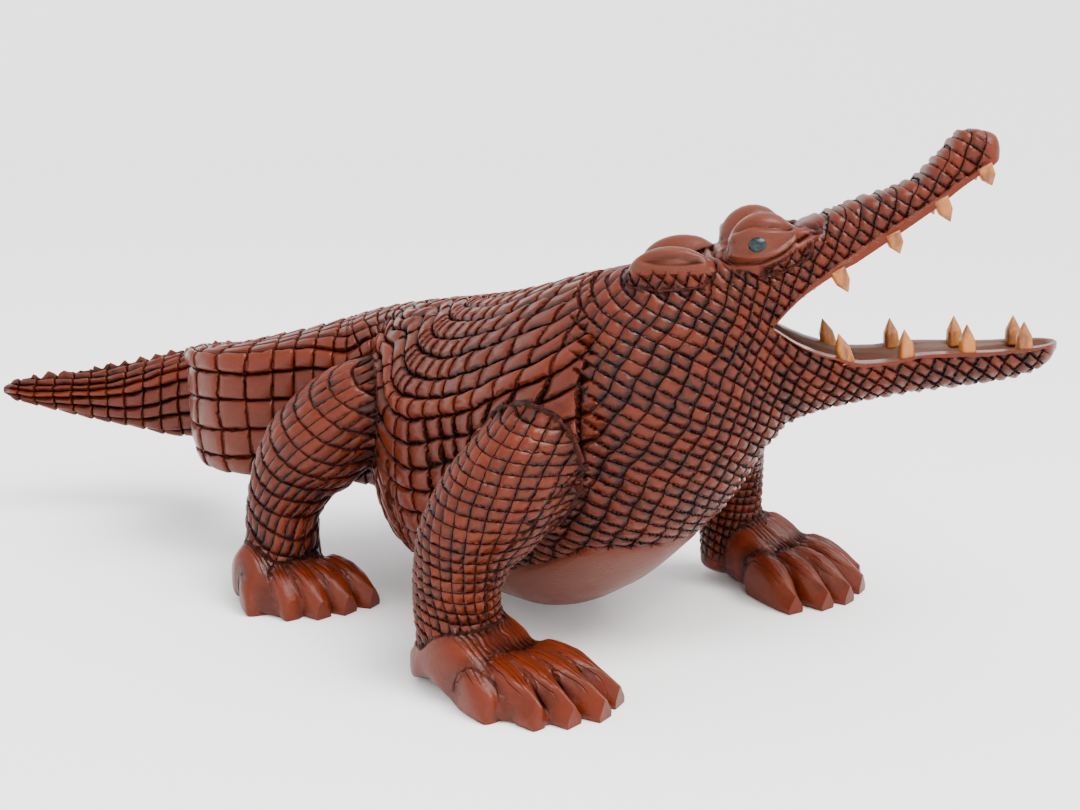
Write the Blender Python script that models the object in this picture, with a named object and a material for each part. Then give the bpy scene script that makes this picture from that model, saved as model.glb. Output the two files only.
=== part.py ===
"""A crocodile carved from one block of hardwood, with set-in teeth and inlaid shell eyes.

World frame: +X runs along the trunk towards the shoulders, +Y to the animal's left, +Z up, soles on z = 0.
The animal is drawn straight in drawn millimetres, as (along, aside, up), with aside positive to its left.
bend() then swings it sideways along its spine and turns drawn millimetres into metres.
"""

from collections import namedtuple

import bmesh
import bpy
import numpy as np
from mathutils import Matrix, Vector

# Driving sizes, in metres
BODY_LENGTH = 0.705       # along the spine, from the tail's tip to the lower jaw's tip
FIT_GAP = 0.0003          # between an inlaid piece and its socket
TOOTH_WIDTH = 0.0078      # across a tooth's root
TOOTH_WAIST = 0.0064      # across it halfway up
TOOTH_TIP = 0.0010        # across its blunt tip
LOWER_TOOTH_HEIGHTS = (0.0130, 0.0130, 0.0130, 0.0125)
UPPER_TOOTH_HEIGHTS = (0.0100, 0.0085, 0.0100, 0.0080)
LOWER_TOOTH_SEAT = 0.0030  # how deep a tooth's root goes below the lip's edge
UPPER_TOOTH_SEAT = 0.0042
EYE_LENGTH = 0.0096
EYE_HEIGHT = 0.0078
EYE_DEPTH = 0.0060
EYE_STANDS_OUT = 0.0012   # how far an eye's shell stands out of its mound

# One drawn millimetre, so every share of the figure follows its length
MM = BODY_LENGTH / 705.0

# How finely the carving is faceted
ROWS_ABOVE = 4            # carved rows a side between the back and the ridge line
ROWS_BELOW = 5            # carved rows a side between the ridge line and the belly
MARKS_PER_ROW = 2
CREST_TEETH = 22
BARREL_RINGS = 11
NECK_RINGS = 6
JAW_RINGS = 10
MOUTH_MARKS = (-0.50, -0.36, 0.0, 0.36, 0.50)
LEG_SIDES = 10
TOE_SIDES = 6
TOOTH_SIDES = 6
LEG_RINGS = 7

# Depth of the carving, in drawn millimetres
TAIL_RIB = 1.2
BARREL_RIB = 0.8
CREST_HEIGHT = 3.6
VAULT = 0.20              # hollow of the mouth's floor and roof, as a share of the jaw's height

# Heading of the spine in degrees, turning to the animal's left, against drawn millimetres along it
HEADING = (
    (-470, 46), (-342, 46), (-333, 40), (-287, -40), (-278, -46), (-258, -46), (-249, -39),
    (-205, 38), (-196, 44), (-150, 44), (-95, 0), (12, 0), (92, 46), (300, 46),
)

# A cross-section: where its back and its belly lie, its half width, the height share of its ridge line,
# and how square it is above and below that line (2 is an ellipse, more is squarer)
Section = namedtuple("Section", "back_at back_up belly_at belly_up half ridge above below")

TAIL = (
    Section(-460.0, 80.0, -460.0, 75.5, 2.5, 0.50, 2.0, 2.0),
    Section(-453.0, 83.5, -453.0, 71.5, 5.0, 0.50, 1.9, 2.0),
    Section(-431.6, 86.2, -431.6, 66.2, 8.5, 0.52, 1.8, 2.4),
    Section(-406.0, 89.5, -406.0, 60.2, 11.5, 0.58, 1.8, 3.0),
    Section(-373.2, 95.5, -373.2, 53.5, 15.0, 0.68, 1.9, 3.6),
    Section(-348.0, 101.0, -348.0, 49.0, 17.0, 0.78, 2.2, 4.2),
    Section(-310.0, 108.5, -310.0, 48.5, 19.0, 0.86, 2.6, 5.0),
    Section(-270.0, 117.0, -270.0, 50.5, 20.5, 0.90, 3.0, 5.5),
    Section(-227.0, 125.0, -227.0, 52.5, 22.0, 0.91, 3.2, 6.0),
    Section(-182.0, 134.0, -182.0, 53.0, 23.5, 0.88, 3.0, 5.5),
    Section(-154.0, 142.0, -154.0, 49.0, 27.0, 0.82, 2.8, 4.2),
    Section(-132.0, 148.5, -132.0, 43.0, 34.5, 0.72, 2.6, 3.2),
)
BARREL = (
    Section(-112.0, 153.0, -112.0, 37.0, 45.0, 0.62, 2.4, 2.6),
    Section(-90.0, 157.5, -86.0, 15.0, 57.5, 0.53, 2.3, 2.6),
    Section(-50.0, 165.0, -45.0, 10.0, 68.0, 0.50, 2.1, 2.4),
    Section(-10.0, 175.5, 5.0, 10.0, 70.0, 0.49, 2.1, 2.3),
    Section(20.0, 185.0, 45.0, 29.0, 66.0, 0.50, 2.1, 2.1),
)
NECK = (
    Section(36.0, 189.5, 74.0, 58.0, 58.0, 0.52, 2.2, 2.1),
    Section(52.0, 193.0, 93.0, 80.0, 47.0, 0.54, 2.4, 2.2),
    Section(70.0, 196.0, 104.0, 98.0, 39.0, 0.56, 2.6, 2.3),
    Section(95.0, 203.0, 117.0, 114.0, 31.0, 0.59, 2.8, 2.4),
)

# A jaw's section: its outer midline point, its lip line's point, and its half width
JawSection = namedtuple("JawSection", "outer_at outer_up lip_at lip_up half")

UPPER_JAW = (
    JawSection(107.0, 207.5, 120.0, 181.3, 28.5),
    JawSection(118.8, 211.9, 131.7, 188.6, 25.5),
    JawSection(144.4, 222.2, 154.1, 202.5, 20.5),
    JawSection(174.0, 233.6, 180.6, 220.3, 16.5),
    JawSection(182.8, 243.0, 192.0, 229.4, 15.5),
    JawSection(196.4, 256.0, 205.0, 238.5, 14.0),
    JawSection(209.2, 253.0, 210.0, 242.0, 9.5),
    JawSection(211.6, 248.7, 212.0, 246.5, 3.5),
)
LOWER_JAW = (
    JawSection(130.0, 119.6, 119.2, 157.0, 28.0),
    JawSection(144.0, 123.3, 133.6, 151.5, 25.0),
    JawSection(155.0, 125.6, 150.4, 148.0, 22.5),
    JawSection(166.0, 127.4, 162.4, 148.5, 20.5),
    JawSection(183.0, 129.9, 180.8, 151.3, 18.0),
    JawSection(215.0, 133.9, 213.6, 151.8, 14.5),
    JawSection(233.0, 138.0, 232.0, 153.0, 12.5),
    JawSection(242.5, 143.8, 242.0, 154.0, 8.5),
    JawSection(247.0, 150.0, 246.5, 154.5, 3.0),
)

# Teeth: where each pair stands along the animal, and how far inside the lip's edge
LOWER_TEETH_AT = (141.0, 171.0, 201.0, 229.0)
UPPER_TEETH_AT = (135.2, 160.8, 183.2, 203.0)
LOWER_TOOTH_INSET = 4.8
UPPER_TOOTH_INSET = 2.2

# A mound of the head: centre, half sizes, and its rise in degrees towards the nose
Mound = namedtuple("Mound", "at aside up half_length half_width half_height rise")

EAR_MOUND = Mound(63.0, 22.0, 197.0, 22.0, 11.0, 8.5, 3.0)
BROW_MOUND = Mound(101.0, 15.5, 200.5, 17.0, 12.5, 18.0, 8.0)
EYE_AT = (97.0, 205.0)
EYE_TURN = 12.0           # degrees an eye faces upwards

# A leg: centre (x, y, z) for the left side, half sizes along and across, all in drawn millimetres
Knot = namedtuple("Knot", "x y z along across")

FRONT_LEG = (
    Knot(34.0, 36.0, 118.0, 21.0, 20.0),
    Knot(36.0, 58.0, 104.0, 29.0, 26.0),
    Knot(31.0, 77.0, 86.0, 29.0, 27.0),
    Knot(26.0, 92.0, 66.0, 24.0, 24.0),
    Knot(25.0, 97.0, 45.0, 21.0, 21.0),
    Knot(26.0, 97.0, 26.0, 20.5, 21.0),
    Knot(28.0, 97.0, -3.0, 20.0, 20.0),
)
HIND_LEG = (
    Knot(-94.0, 28.0, 110.0, 22.0, 20.0),
    Knot(-107.0, 51.0, 101.0, 29.0, 27.0),
    Knot(-119.0, 70.0, 84.0, 30.0, 27.0),
    Knot(-127.0, 83.0, 64.0, 23.5, 23.0),
    Knot(-129.0, 89.0, 45.0, 19.8, 20.0),
    Knot(-128.0, 90.0, 26.0, 20.0, 20.5),
    Knot(-127.0, 90.0, -3.0, 21.5, 21.5),
)

# A foot: its heel, its five toe tips from the outside in, on the left side, and how far its leg is
# moved and how stout that leg is, as a share of its knots' sizes
Foot = namedtuple("Foot", "heel tips shift girth")

FRONT_TIPS = ((70.0, 118.0), (88.0, 107.0), (96.0, 95.0), (101.0, 80.0), (96.0, 65.0))
HIND_TIPS = ((-110.0, 120.0), (-93.0, 109.0), (-84.0, 96.5), (-80.0, 82.5), (-79.0, 67.0))
LEFT_FRONT_TIPS = ((84.0, 148.0), (94.0, 136.0), (98.5, 117.0), (95.5, 101.0), (87.0, 84.0))
FRONT_FOOT = Foot((3.0, 99.0), FRONT_TIPS, (-2.0, 1.8), 1.0)
LEFT_FRONT_FOOT = Foot((14.0, 112.0), LEFT_FRONT_TIPS, (-0.5, 8.5), 0.85)
HIND_FOOT = Foot((-148.0, 95.0), HIND_TIPS, (0.0, 0.0), 1.0)
ANKLE_HEIGHT = 33.0
KNUCKLE_HEIGHT = 19.0
FOOT_HALF_HEEL = 23.0
FOOT_HALF_TOES = 27.0
TOE_HALF = 7.8
TOE_HEIGHT = 20.5
BELOW_GROUND = 3.0        # how far legs and feet run on below the soles before the soles are cut flat


def through(at, knots_at, values):
    """A smooth curve through the knots that never overshoots them (a monotone cubic)."""
    knots_at = np.asarray(knots_at, float)
    values = np.asarray(values, float)
    gap = np.diff(knots_at)
    slope = np.diff(values) / gap
    before = slope[:-1]
    after = slope[1:]
    same = before * after > 0
    near = 2 * gap[1:] + gap[:-1]
    far = gap[1:] + 2 * gap[:-1]
    tangent = np.zeros(len(values))
    mean = near / np.where(same, before, 1.0) + far / np.where(same, after, 1.0)
    tangent[1:-1] = np.where(same, (near + far) / mean, 0.0)
    tangent[0] = slope[0]
    tangent[-1] = slope[-1]
    i = np.clip(np.searchsorted(knots_at, at) - 1, 0, len(gap) - 1)
    t = np.clip((at - knots_at[i]) / gap[i], 0.0, 1.0)
    return (
        (1 + 2 * t) * (1 - t) ** 2 * values[i]
        + t * (1 - t) ** 2 * gap[i] * tangent[i]
        + t * t * (3 - 2 * t) * values[i + 1]
        + t * t * (t - 1) * gap[i] * tangent[i + 1]
    )


def spine_table():
    """The spine's plan curve: lengths along it, its x and y, and its heading, in drawn millimetres and radians."""
    along = np.linspace(HEADING[0][0], HEADING[-1][0], 1541)
    heading = np.radians(through(along, *zip(*HEADING)))
    step = along[1] - along[0]
    x = np.cumsum(np.cos(heading)) * step
    y = np.cumsum(np.sin(heading)) * step
    start = np.argmin(np.abs(along))
    return along, x - x[start], y - y[start], heading


SPINE = spine_table()


def bend(points):
    """Drawn (along, aside, up) to world metres: the point moves to the spine and off it at right angles."""
    points = np.asarray(points, float)
    along, x, y, heading = SPINE
    at = points[..., 0]
    turn = np.interp(at, along, heading)
    world = np.empty(points.shape)
    world[..., 0] = np.interp(at, along, x) - np.sin(turn) * points[..., 1]
    world[..., 1] = np.interp(at, along, y) + np.cos(turn) * points[..., 1]
    world[..., 2] = points[..., 2]
    return world * MM


def heading_at(at):
    """The spine's heading in radians at this length along it."""
    return float(np.interp(at, SPINE[0], SPINE[3]))


def between(sections, station):
    """The section at a fractional station of a list, each of its values on a smooth curve."""
    numbers = np.arange(len(sections))
    kind = type(sections[0])
    return kind(*(float(through(station, numbers, column)) for column in zip(*sections)))


def quarter(outer, lip, half, power, marks):
    """A quarter outline from the midline to the widest point, with its marks evenly spaced along it.

    It is a superellipse: aside is half * sin^(2/power), and the height falls from outer to lip as cos^(2/power).
    """
    angle = np.linspace(0.0, np.pi / 2, 91)
    aside = half * np.sin(angle) ** (2 / power)
    share = np.cos(angle) ** (2 / power)
    tall = np.linalg.norm(outer - lip)
    length = np.concatenate([[0.0], np.cumsum(np.hypot(np.diff(aside), np.diff(share * tall)))])
    even = np.linspace(0.0, length[-1], marks + 1)
    share = np.interp(even, length, share)[:, None]
    aside = np.interp(even, length, aside)
    spot = lip + (outer - lip) * share
    return np.stack([spot[:, 0], aside, spot[:, 1]], axis=1)


def mirrored(points):
    """The same points on the other side of the animal."""
    return points * np.array([1.0, -1.0, 1.0])


MARKS_ABOVE = ROWS_ABOVE * MARKS_PER_ROW
MARKS_BELOW = ROWS_BELOW * MARKS_PER_ROW
RING = 2 * (MARKS_ABOVE + MARKS_BELOW)


def trunk_ring(section):
    """A closed ring of a trunk section: back, right ridge, belly, left ridge."""
    back = np.array([section.back_at, section.back_up])
    belly = np.array([section.belly_at, section.belly_up])
    ridge = belly + (back - belly) * section.ridge
    above = mirrored(quarter(back, ridge, section.half, section.above, MARKS_ABOVE))
    below = mirrored(quarter(belly, ridge, section.half, section.below, MARKS_BELOW))[::-1]
    right = np.concatenate([above, below[1:]])
    return np.concatenate([right, mirrored(right[-2:0:-1])])


def jaw_ring(section, power, marks, hollow):
    """A jaw's ring: from the right lip over its outer side to the left lip, then back across the mouth."""
    outer = np.array([section.outer_at, section.outer_up])
    lip = np.array([section.lip_at, section.lip_up])
    left = quarter(outer, lip, section.half, power, marks)
    outside = np.concatenate([mirrored(left[::-1]), left[1:]])
    share = -np.array(MOUTH_MARKS)
    sunk = hollow * (np.abs(share) < max(share))
    spot = lip + (outer - lip) * sunk[:, None]
    inside = np.stack([spot[:, 0], share * section.half, spot[:, 1]], axis=1)
    return np.concatenate([outside, inside])


def ring_stations():
    """Stations of the trunk's rings, and for each whether it is the tip of a crest tooth."""
    numbers = np.arange(len(TAIL + BARREL + NECK), dtype=float)
    tail_end = len(TAIL) - 0.5
    barrel_end = len(TAIL + BARREL) - 1.0
    tail = np.linspace(0.0, tail_end, 2 * CREST_TEETH + 1)
    middle = [(section.back_at + section.belly_at) / 2 for section in TAIL + BARREL + NECK]
    even = np.interp(np.linspace(middle[0], np.interp(tail_end, numbers, middle), len(tail)), middle, numbers)
    tail = (tail + even) / 2
    barrel = np.linspace(tail_end, barrel_end, BARREL_RINGS + 1)[1:]
    neck = np.linspace(barrel_end, numbers[-1], NECK_RINGS + 1)[1:]
    stations = np.concatenate([tail, barrel, neck])
    is_tip = np.zeros(len(stations), bool)
    is_tip[1:len(tail):2] = True
    return stations, is_tip


def carved_ribs(along):
    """How far each ring point stands out of the plain form: a rib along every carved row."""
    rib = np.interp(along, (-450, -380, -150, -90, 0, 30), (0, TAIL_RIB, TAIL_RIB, BARREL_RIB, BARREL_RIB, 0))
    relief = np.where(np.arange(RING) % MARKS_PER_ROW == 0, 0.5, -0.5)[None] * rib[:, None]
    relief[:, 1:MARKS_ABOVE] *= 0.4
    relief[:, RING - MARKS_ABOVE + 1:] *= 0.4
    return relief


def crest_teeth(along, is_tip):
    """How far each ring point is raised by the tail's crests: one near its tip, two towards the hips."""
    double = np.interp(along, (-350, -300), (0.0, 1.0))
    fade = np.interp(along, (-458, -445, -150, -100), (0.0, 1.0, 1.0, 0.0))
    tooth = np.where(is_tip, 1.0, -0.1) * fade * CREST_HEIGHT
    rise = np.zeros((len(along), RING))
    rise[:, 0] = tooth * (1 - double)
    for mark, share in ((MARKS_ABOVE - 1, 1.0), (MARKS_ABOVE, 0.35)):
        rise[:, mark] = share * tooth * double
        rise[:, RING - mark] = share * tooth * double
    return rise


def outward(grid):
    """Unit normals of a grid of closed rings, pointing out of it."""
    around = np.roll(grid, -1, axis=1) - np.roll(grid, 1, axis=1)
    onward = np.gradient(grid, axis=0)
    normal = np.cross(onward, around)
    return normal / np.maximum(np.linalg.norm(normal, axis=2, keepdims=True), 1e-12)


def mesh_object(name, points, faces, material, collection):
    """A new object from points and faces, with its normals turned outwards."""
    mesh = bpy.data.meshes.new(name)
    mesh.from_pydata([tuple(point) for point in points], [], faces)
    shape = bmesh.new()
    shape.from_mesh(mesh)
    bmesh.ops.recalc_face_normals(shape, faces=shape.faces)
    shape.to_mesh(mesh)
    shape.free()
    mesh.materials.append(material)
    mesh.shade_smooth()
    mesh.set_sharp_from_angle(angle=np.radians(40))
    thing = bpy.data.objects.new(name, mesh)
    collection.objects.link(thing)
    return thing


def band(first, second, closed=True):
    """Quads between two rows of point numbers."""
    count = len(first)
    last = count if closed else count - 1
    return [
        (first[i], second[i], second[(i + 1) % count], first[(i + 1) % count])
        for i in range(last)
    ]


def skin(name, rings, material, collection):
    """A closed tube through the rings, with flat ends."""
    count = len(rings[0])
    faces = []
    for step in range(len(rings) - 1):
        first = range(step * count, (step + 1) * count)
        second = range((step + 1) * count, (step + 2) * count)
        faces += band(first, second)
    faces.append(tuple(range(count)))
    faces.append(tuple(range((len(rings) - 1) * count, len(rings) * count)))
    return mesh_object(name, np.concatenate(rings), faces, material, collection)


def split_section():
    """The trunk's last section as the first section of each jaw, and the point of the mouth's corner."""
    last = NECK[-1]
    corner_at = last.belly_at + (last.back_at - last.belly_at) * last.ridge
    corner_up = last.belly_up + (last.back_up - last.belly_up) * last.ridge
    upper = JawSection(last.back_at, last.back_up, corner_at, corner_up, last.half)
    lower = JawSection(last.belly_at, last.belly_up, corner_at, corner_up, last.half)
    return upper, lower


def carved_trunk(material, collection):
    """Tail, trunk, neck and both jaws as one closed skin that forks at the mouth's corner."""
    sections = TAIL + BARREL + NECK
    stations, is_tip = ring_stations()
    rings = np.array([trunk_ring(between(sections, station)) for station in stations])
    along = rings[:, :, 0].mean(axis=1)
    grid = bend(rings)
    grid += outward(grid) * carved_ribs(along)[:, :, None] * MM
    grid[:, :, 2] += crest_teeth(along, is_tip) * MM
    points = list(grid.reshape(-1, 3))
    faces = [tuple(range(RING))]
    for step in range(len(stations) - 1):
        first = range(step * RING, (step + 1) * RING)
        second = range((step + 1) * RING, (step + 2) * RING)
        faces += band(first, second)

    last_ring = [(len(stations) - 1) * RING + mark for mark in range(RING)]
    right_lip = MARKS_ABOVE
    left_lip = RING - MARKS_ABOVE
    over = last_ring[right_lip::-1] + last_ring[:left_lip - 1:-1]
    under = last_ring[right_lip:left_lip + 1]
    upper_root, lower_root = split_section()
    power_above = NECK[-1].above
    power_below = NECK[-1].below
    chord = bend(jaw_ring(upper_root, power_above, MARKS_ABOVE, 0.0)[-len(MOUTH_MARKS):])
    chord_numbers = list(range(len(points), len(points) + len(chord)))
    points += list(chord)
    jaws = (
        (upper_root, UPPER_JAW, over, power_above, MARKS_ABOVE),
        (lower_root, LOWER_JAW, under, power_below, MARKS_BELOW),
    )
    for root, jaw, outside, power, marks in jaws:
        previous = outside + chord_numbers
        sections = (root,) + jaw
        steps = np.linspace(0.0, len(jaw), JAW_RINGS + 1)[1:]
        for station in steps:
            hollow = VAULT * np.interp(station, (0, 1.5, len(jaw) - 2, len(jaw)), (0, 1, 1, 0))
            ring = bend(jaw_ring(between(sections, station), power, marks, hollow))
            numbers = list(range(len(points), len(points) + len(ring)))
            points += list(ring)
            faces += band(previous, numbers)
            previous = numbers
        faces.append(tuple(previous))
    return mesh_object("body", points, faces, material, collection)


def mound(name, shape, side, material, collection):
    """An egg-shaped swelling of the head on one side (+1 is left)."""
    egg = bmesh.new()
    size = Matrix.Diagonal((shape.half_length * MM, shape.half_width * MM, shape.half_height * MM, 1.0))
    spot = bend((shape.at, side * shape.aside, shape.up))
    turn = Matrix.Rotation(heading_at(shape.at), 4, "Z") @ Matrix.Rotation(-np.radians(shape.rise), 4, "Y")
    place = Matrix.Translation(Vector(spot)) @ turn @ size
    bmesh.ops.create_uvsphere(egg, u_segments=12, v_segments=6, radius=1.0, matrix=place)
    mesh = bpy.data.meshes.new(name)
    egg.to_mesh(mesh)
    egg.free()
    mesh.materials.append(material)
    thing = bpy.data.objects.new(name, mesh)
    collection.objects.link(thing)
    return thing


def round_ring(centre, one_way, other_way, sides, power=2.0):
    """A ring about a centre; one_way and other_way are its two half sizes as vectors."""
    angle = np.linspace(0.0, 2 * np.pi, sides, endpoint=False)
    across = np.sign(np.cos(angle)) * np.abs(np.cos(angle)) ** (2 / power)
    upward = np.sign(np.sin(angle)) * np.abs(np.sin(angle)) ** (2 / power)
    return centre + across[:, None] * one_way + upward[:, None] * other_way


def leg_rings(knots, girth, count):
    """Rings along a leg, each square to the leg's own middle line."""
    stations = np.linspace(0.0, len(knots) - 1, count)
    drawn = [between(knots, station) for station in stations]
    centres = np.array([(knot.x, knot.y, knot.z) for knot in drawn])
    course = np.gradient(centres, axis=0)
    course /= np.linalg.norm(course, axis=1, keepdims=True)
    rings = []
    for knot, centre, way in zip(drawn, centres, course):
        forward = np.array([1.0, 0.0, 0.0]) - way * way[0]
        forward /= np.linalg.norm(forward)
        sideways = np.cross(way, forward)
        one_way = forward * knot.along * girth
        other_way = sideways * knot.across * girth
        rings.append(round_ring(centre, one_way, other_way, LEG_SIDES))
    return np.array(rings)


def bar_rings(start, end, halves, tops, power, sides):
    """Rings of a bar lying on the ground from start to end, with half widths and top heights along it."""
    start = np.array(start)
    end = np.array(end)
    way = (end - start) / np.linalg.norm(end - start)
    aside = np.array([-way[1], way[0], 0.0])
    rings = []
    for share, half, top in zip(np.linspace(0.0, 1.0, len(halves)), halves, tops):
        spot = start + (end - start) * share
        middle = (top - BELOW_GROUND) / 2
        centre = np.array([spot[0], spot[1], middle])
        upright = np.array([0.0, 0.0, (top + BELOW_GROUND) / 2])
        rings.append(round_ring(centre, aside * half, upright, sides, power))
    return np.array(rings)


def foot_rings(foot):
    """The palm and its five toes, each a bar on the ground, in drawn millimetres for the left side."""
    tips = np.array(foot.tips)
    heel = np.array(foot.heel)
    middle = tips[1:4].mean(axis=0)
    knuckles = heel + (middle - heel) * 0.74
    widths = np.array((0.62, 0.90, 0.98, 1.0, 1.0, 0.97)) * np.linspace(FOOT_HALF_HEEL, FOOT_HALF_TOES, 6)
    heights = (20.0, 30.0, ANKLE_HEIGHT, 28.0, 22.0, KNUCKLE_HEIGHT)
    bars = [bar_rings(heel, knuckles, widths, heights, 3.0, LEG_SIDES)]
    swell = np.array((0.90, 1.0, 1.0, 0.86, 0.50))
    drop = np.array((0.90, 1.04, 1.0, 0.74, 0.34))
    for tip in tips:
        root = knuckles + (tip - middle) * 0.74 - (middle - heel) * 0.12
        bars.append(bar_rings(root, tip, swell * TOE_HALF, drop * TOE_HEIGHT, 2.6, TOE_SIDES))
    return bars


def limb(name, knots, foot, side, material, collection):
    """One leg with its foot, as solids that the body is joined with."""
    flip = np.array([1.0, side, 1.0]) * MM
    shift = np.array([foot.shift[0], foot.shift[1], 0.0])
    leg = (leg_rings(knots, foot.girth, LEG_RINGS) + shift) * flip
    pieces = [skin(name + "_leg", leg, material, collection)]
    for number, rings in enumerate(foot_rings(foot)):
        pieces.append(skin(f"{name}_foot_{number}", rings * flip, material, collection))
    return pieces


def ground_block(collection):
    """A block under z = 0 that cuts the soles flat."""
    size = 2 * BODY_LENGTH
    block = bmesh.new()
    bmesh.ops.create_cube(block, size=size, matrix=Matrix.Translation((0.0, 0.0, -size / 2)))
    mesh = bpy.data.meshes.new("ground")
    block.to_mesh(mesh)
    block.free()
    thing = bpy.data.objects.new("ground", mesh)
    collection.objects.link(thing)
    return thing


def peg(name, gum, rise, height, seat, extra, material, collection):
    """A tooth, or with some extra all round its socket's cutter: a waisted peg that stands on the gum."""
    course = np.array(rise) / np.linalg.norm(rise)
    one_way = np.cross(course, (0.0, 0.0, 1.0))
    one_way /= np.linalg.norm(one_way)
    other_way = np.cross(course, one_way)
    rings = []
    for lift, width in ((-seat - extra, TOOTH_WIDTH), (height / 2, TOOTH_WAIST), (height + extra, TOOTH_TIP)):
        reach = width / 2 + extra / np.cos(np.pi / TOOTH_SIDES)
        rings.append(round_ring(gum + course * lift, one_way * reach, other_way * reach, TOOTH_SIDES))
    return skin(name, np.array(rings), material, collection)


def jaw_line(root, jaw, spots):
    """The jaw's sections whose lips lie this far along the animal."""
    sections = (root,) + jaw
    stations = np.linspace(0.0, len(jaw), 401)
    lips = [between(sections, station).lip_at for station in stations]
    return [between(sections, station) for station in np.interp(spots, lips, stations)]


def tooth_places():
    """Name, gum point, rise, height and seat of every tooth."""
    upper_root, lower_root = split_section()
    rows = (
        ("upper", jaw_line(upper_root, UPPER_JAW, UPPER_TEETH_AT), UPPER_TOOTH_HEIGHTS, UPPER_TOOTH_INSET,
         UPPER_TOOTH_SEAT),
        ("lower", jaw_line(lower_root, LOWER_JAW, LOWER_TEETH_AT), LOWER_TOOTH_HEIGHTS, LOWER_TOOTH_INSET,
         LOWER_TOOTH_SEAT),
    )
    places = []
    for row, sections, heights, inset, seat in rows:
        for pair, (section, height) in enumerate(zip(sections, heights), start=1):
            aside = section.half - inset
            for side, hand in ((-1, "right"), (1, "left")):
                gum = bend((section.lip_at, side * aside, section.lip_up))
                outer = bend((section.outer_at, side * aside, section.outer_up))
                places.append((f"{row}_tooth_{hand}_{pair}", gum, gum - outer, height, seat))
    return places


def eye(name, side, materials, collections):
    """One inlaid eye, a flattened egg, and the cutter of its socket."""
    shell, wood = materials
    parts, cutters = collections
    at, up = EYE_AT
    rise = np.radians(BROW_MOUND.rise)
    turn = Matrix.Rotation(heading_at(at), 4, "Z") @ Matrix.Rotation(side * np.radians(EYE_TURN), 4, "X")
    turn = turn @ Matrix.Rotation(-rise, 4, "Y")
    lift = (up - BROW_MOUND.up) / BROW_MOUND.half_height
    shift = (at - BROW_MOUND.at) / BROW_MOUND.half_length
    reach = BROW_MOUND.aside + BROW_MOUND.half_width * np.sqrt(1.0 - lift ** 2 - shift ** 2)
    surface = Vector(bend((at, side * reach, up)))
    facing = turn @ Vector((0.0, side, 0.0))
    centre = surface - facing * (EYE_DEPTH / 2 - EYE_STANDS_OUT)
    made = []
    for label, extra, material, collection in (
        (name, 0.0, shell, parts),
        (name + "_socket", FIT_GAP, wood, cutters),
    ):
        size = Matrix.Diagonal((EYE_LENGTH / 2 + extra, EYE_DEPTH / 2 + extra, EYE_HEIGHT / 2 + extra, 1.0))
        egg = bmesh.new()
        place = Matrix.Translation(centre) @ turn @ size
        bmesh.ops.create_uvsphere(egg, u_segments=10, v_segments=6, radius=1.0, matrix=place)
        mesh = bpy.data.meshes.new(label)
        egg.to_mesh(mesh)
        egg.free()
        mesh.materials.append(material)
        mesh.shade_smooth()
        thing = bpy.data.objects.new(label, mesh)
        collection.objects.link(thing)
        made.append(thing)
    return made


def boolean(target, operation, collection):
    """A live exact Boolean of the target with everything in a collection."""
    modifier = target.modifiers.new(operation.lower(), "BOOLEAN")
    modifier.operation = operation
    modifier.operand_type = "COLLECTION"
    modifier.collection = collection
    modifier.solver = "EXACT"
    return modifier


def new_material(name, colour, roughness):
    """A plain Principled BSDF material."""
    material = bpy.data.materials.new(name)
    material.use_nodes = True
    shader = material.node_tree.nodes["Principled BSDF"]
    shader.inputs["Base Color"].default_value = (*colour, 1.0)
    shader.inputs["Roughness"].default_value = roughness
    shader.inputs["Metallic"].default_value = 0.0
    material.diffuse_color = (*colour, 1.0)
    return material


def new_collection(name):
    """A new collection under the scene's own."""
    collection = bpy.data.collections.new(name)
    bpy.context.scene.collection.children.link(collection)
    return collection


def centre_over_origin(nodes):
    """Parents everything to an empty and moves it so that the nodes' box is centred on the world's Z axis."""
    bpy.context.view_layer.update()
    graph = bpy.context.evaluated_depsgraph_get()
    corners = np.array([
        tuple(node.matrix_world @ Vector(corner))
        for node in nodes
        for corner in node.evaluated_get(graph).bound_box
    ])
    middle = (corners.min(axis=0) + corners.max(axis=0)) / 2
    stand = bpy.data.objects.new("crocodile", None)
    bpy.context.scene.collection.objects.link(stand)
    for thing in bpy.context.scene.objects:
        if thing is not stand:
            thing.parent = stand
    stand.location = (-middle[0], -middle[1], 0.0)


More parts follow.
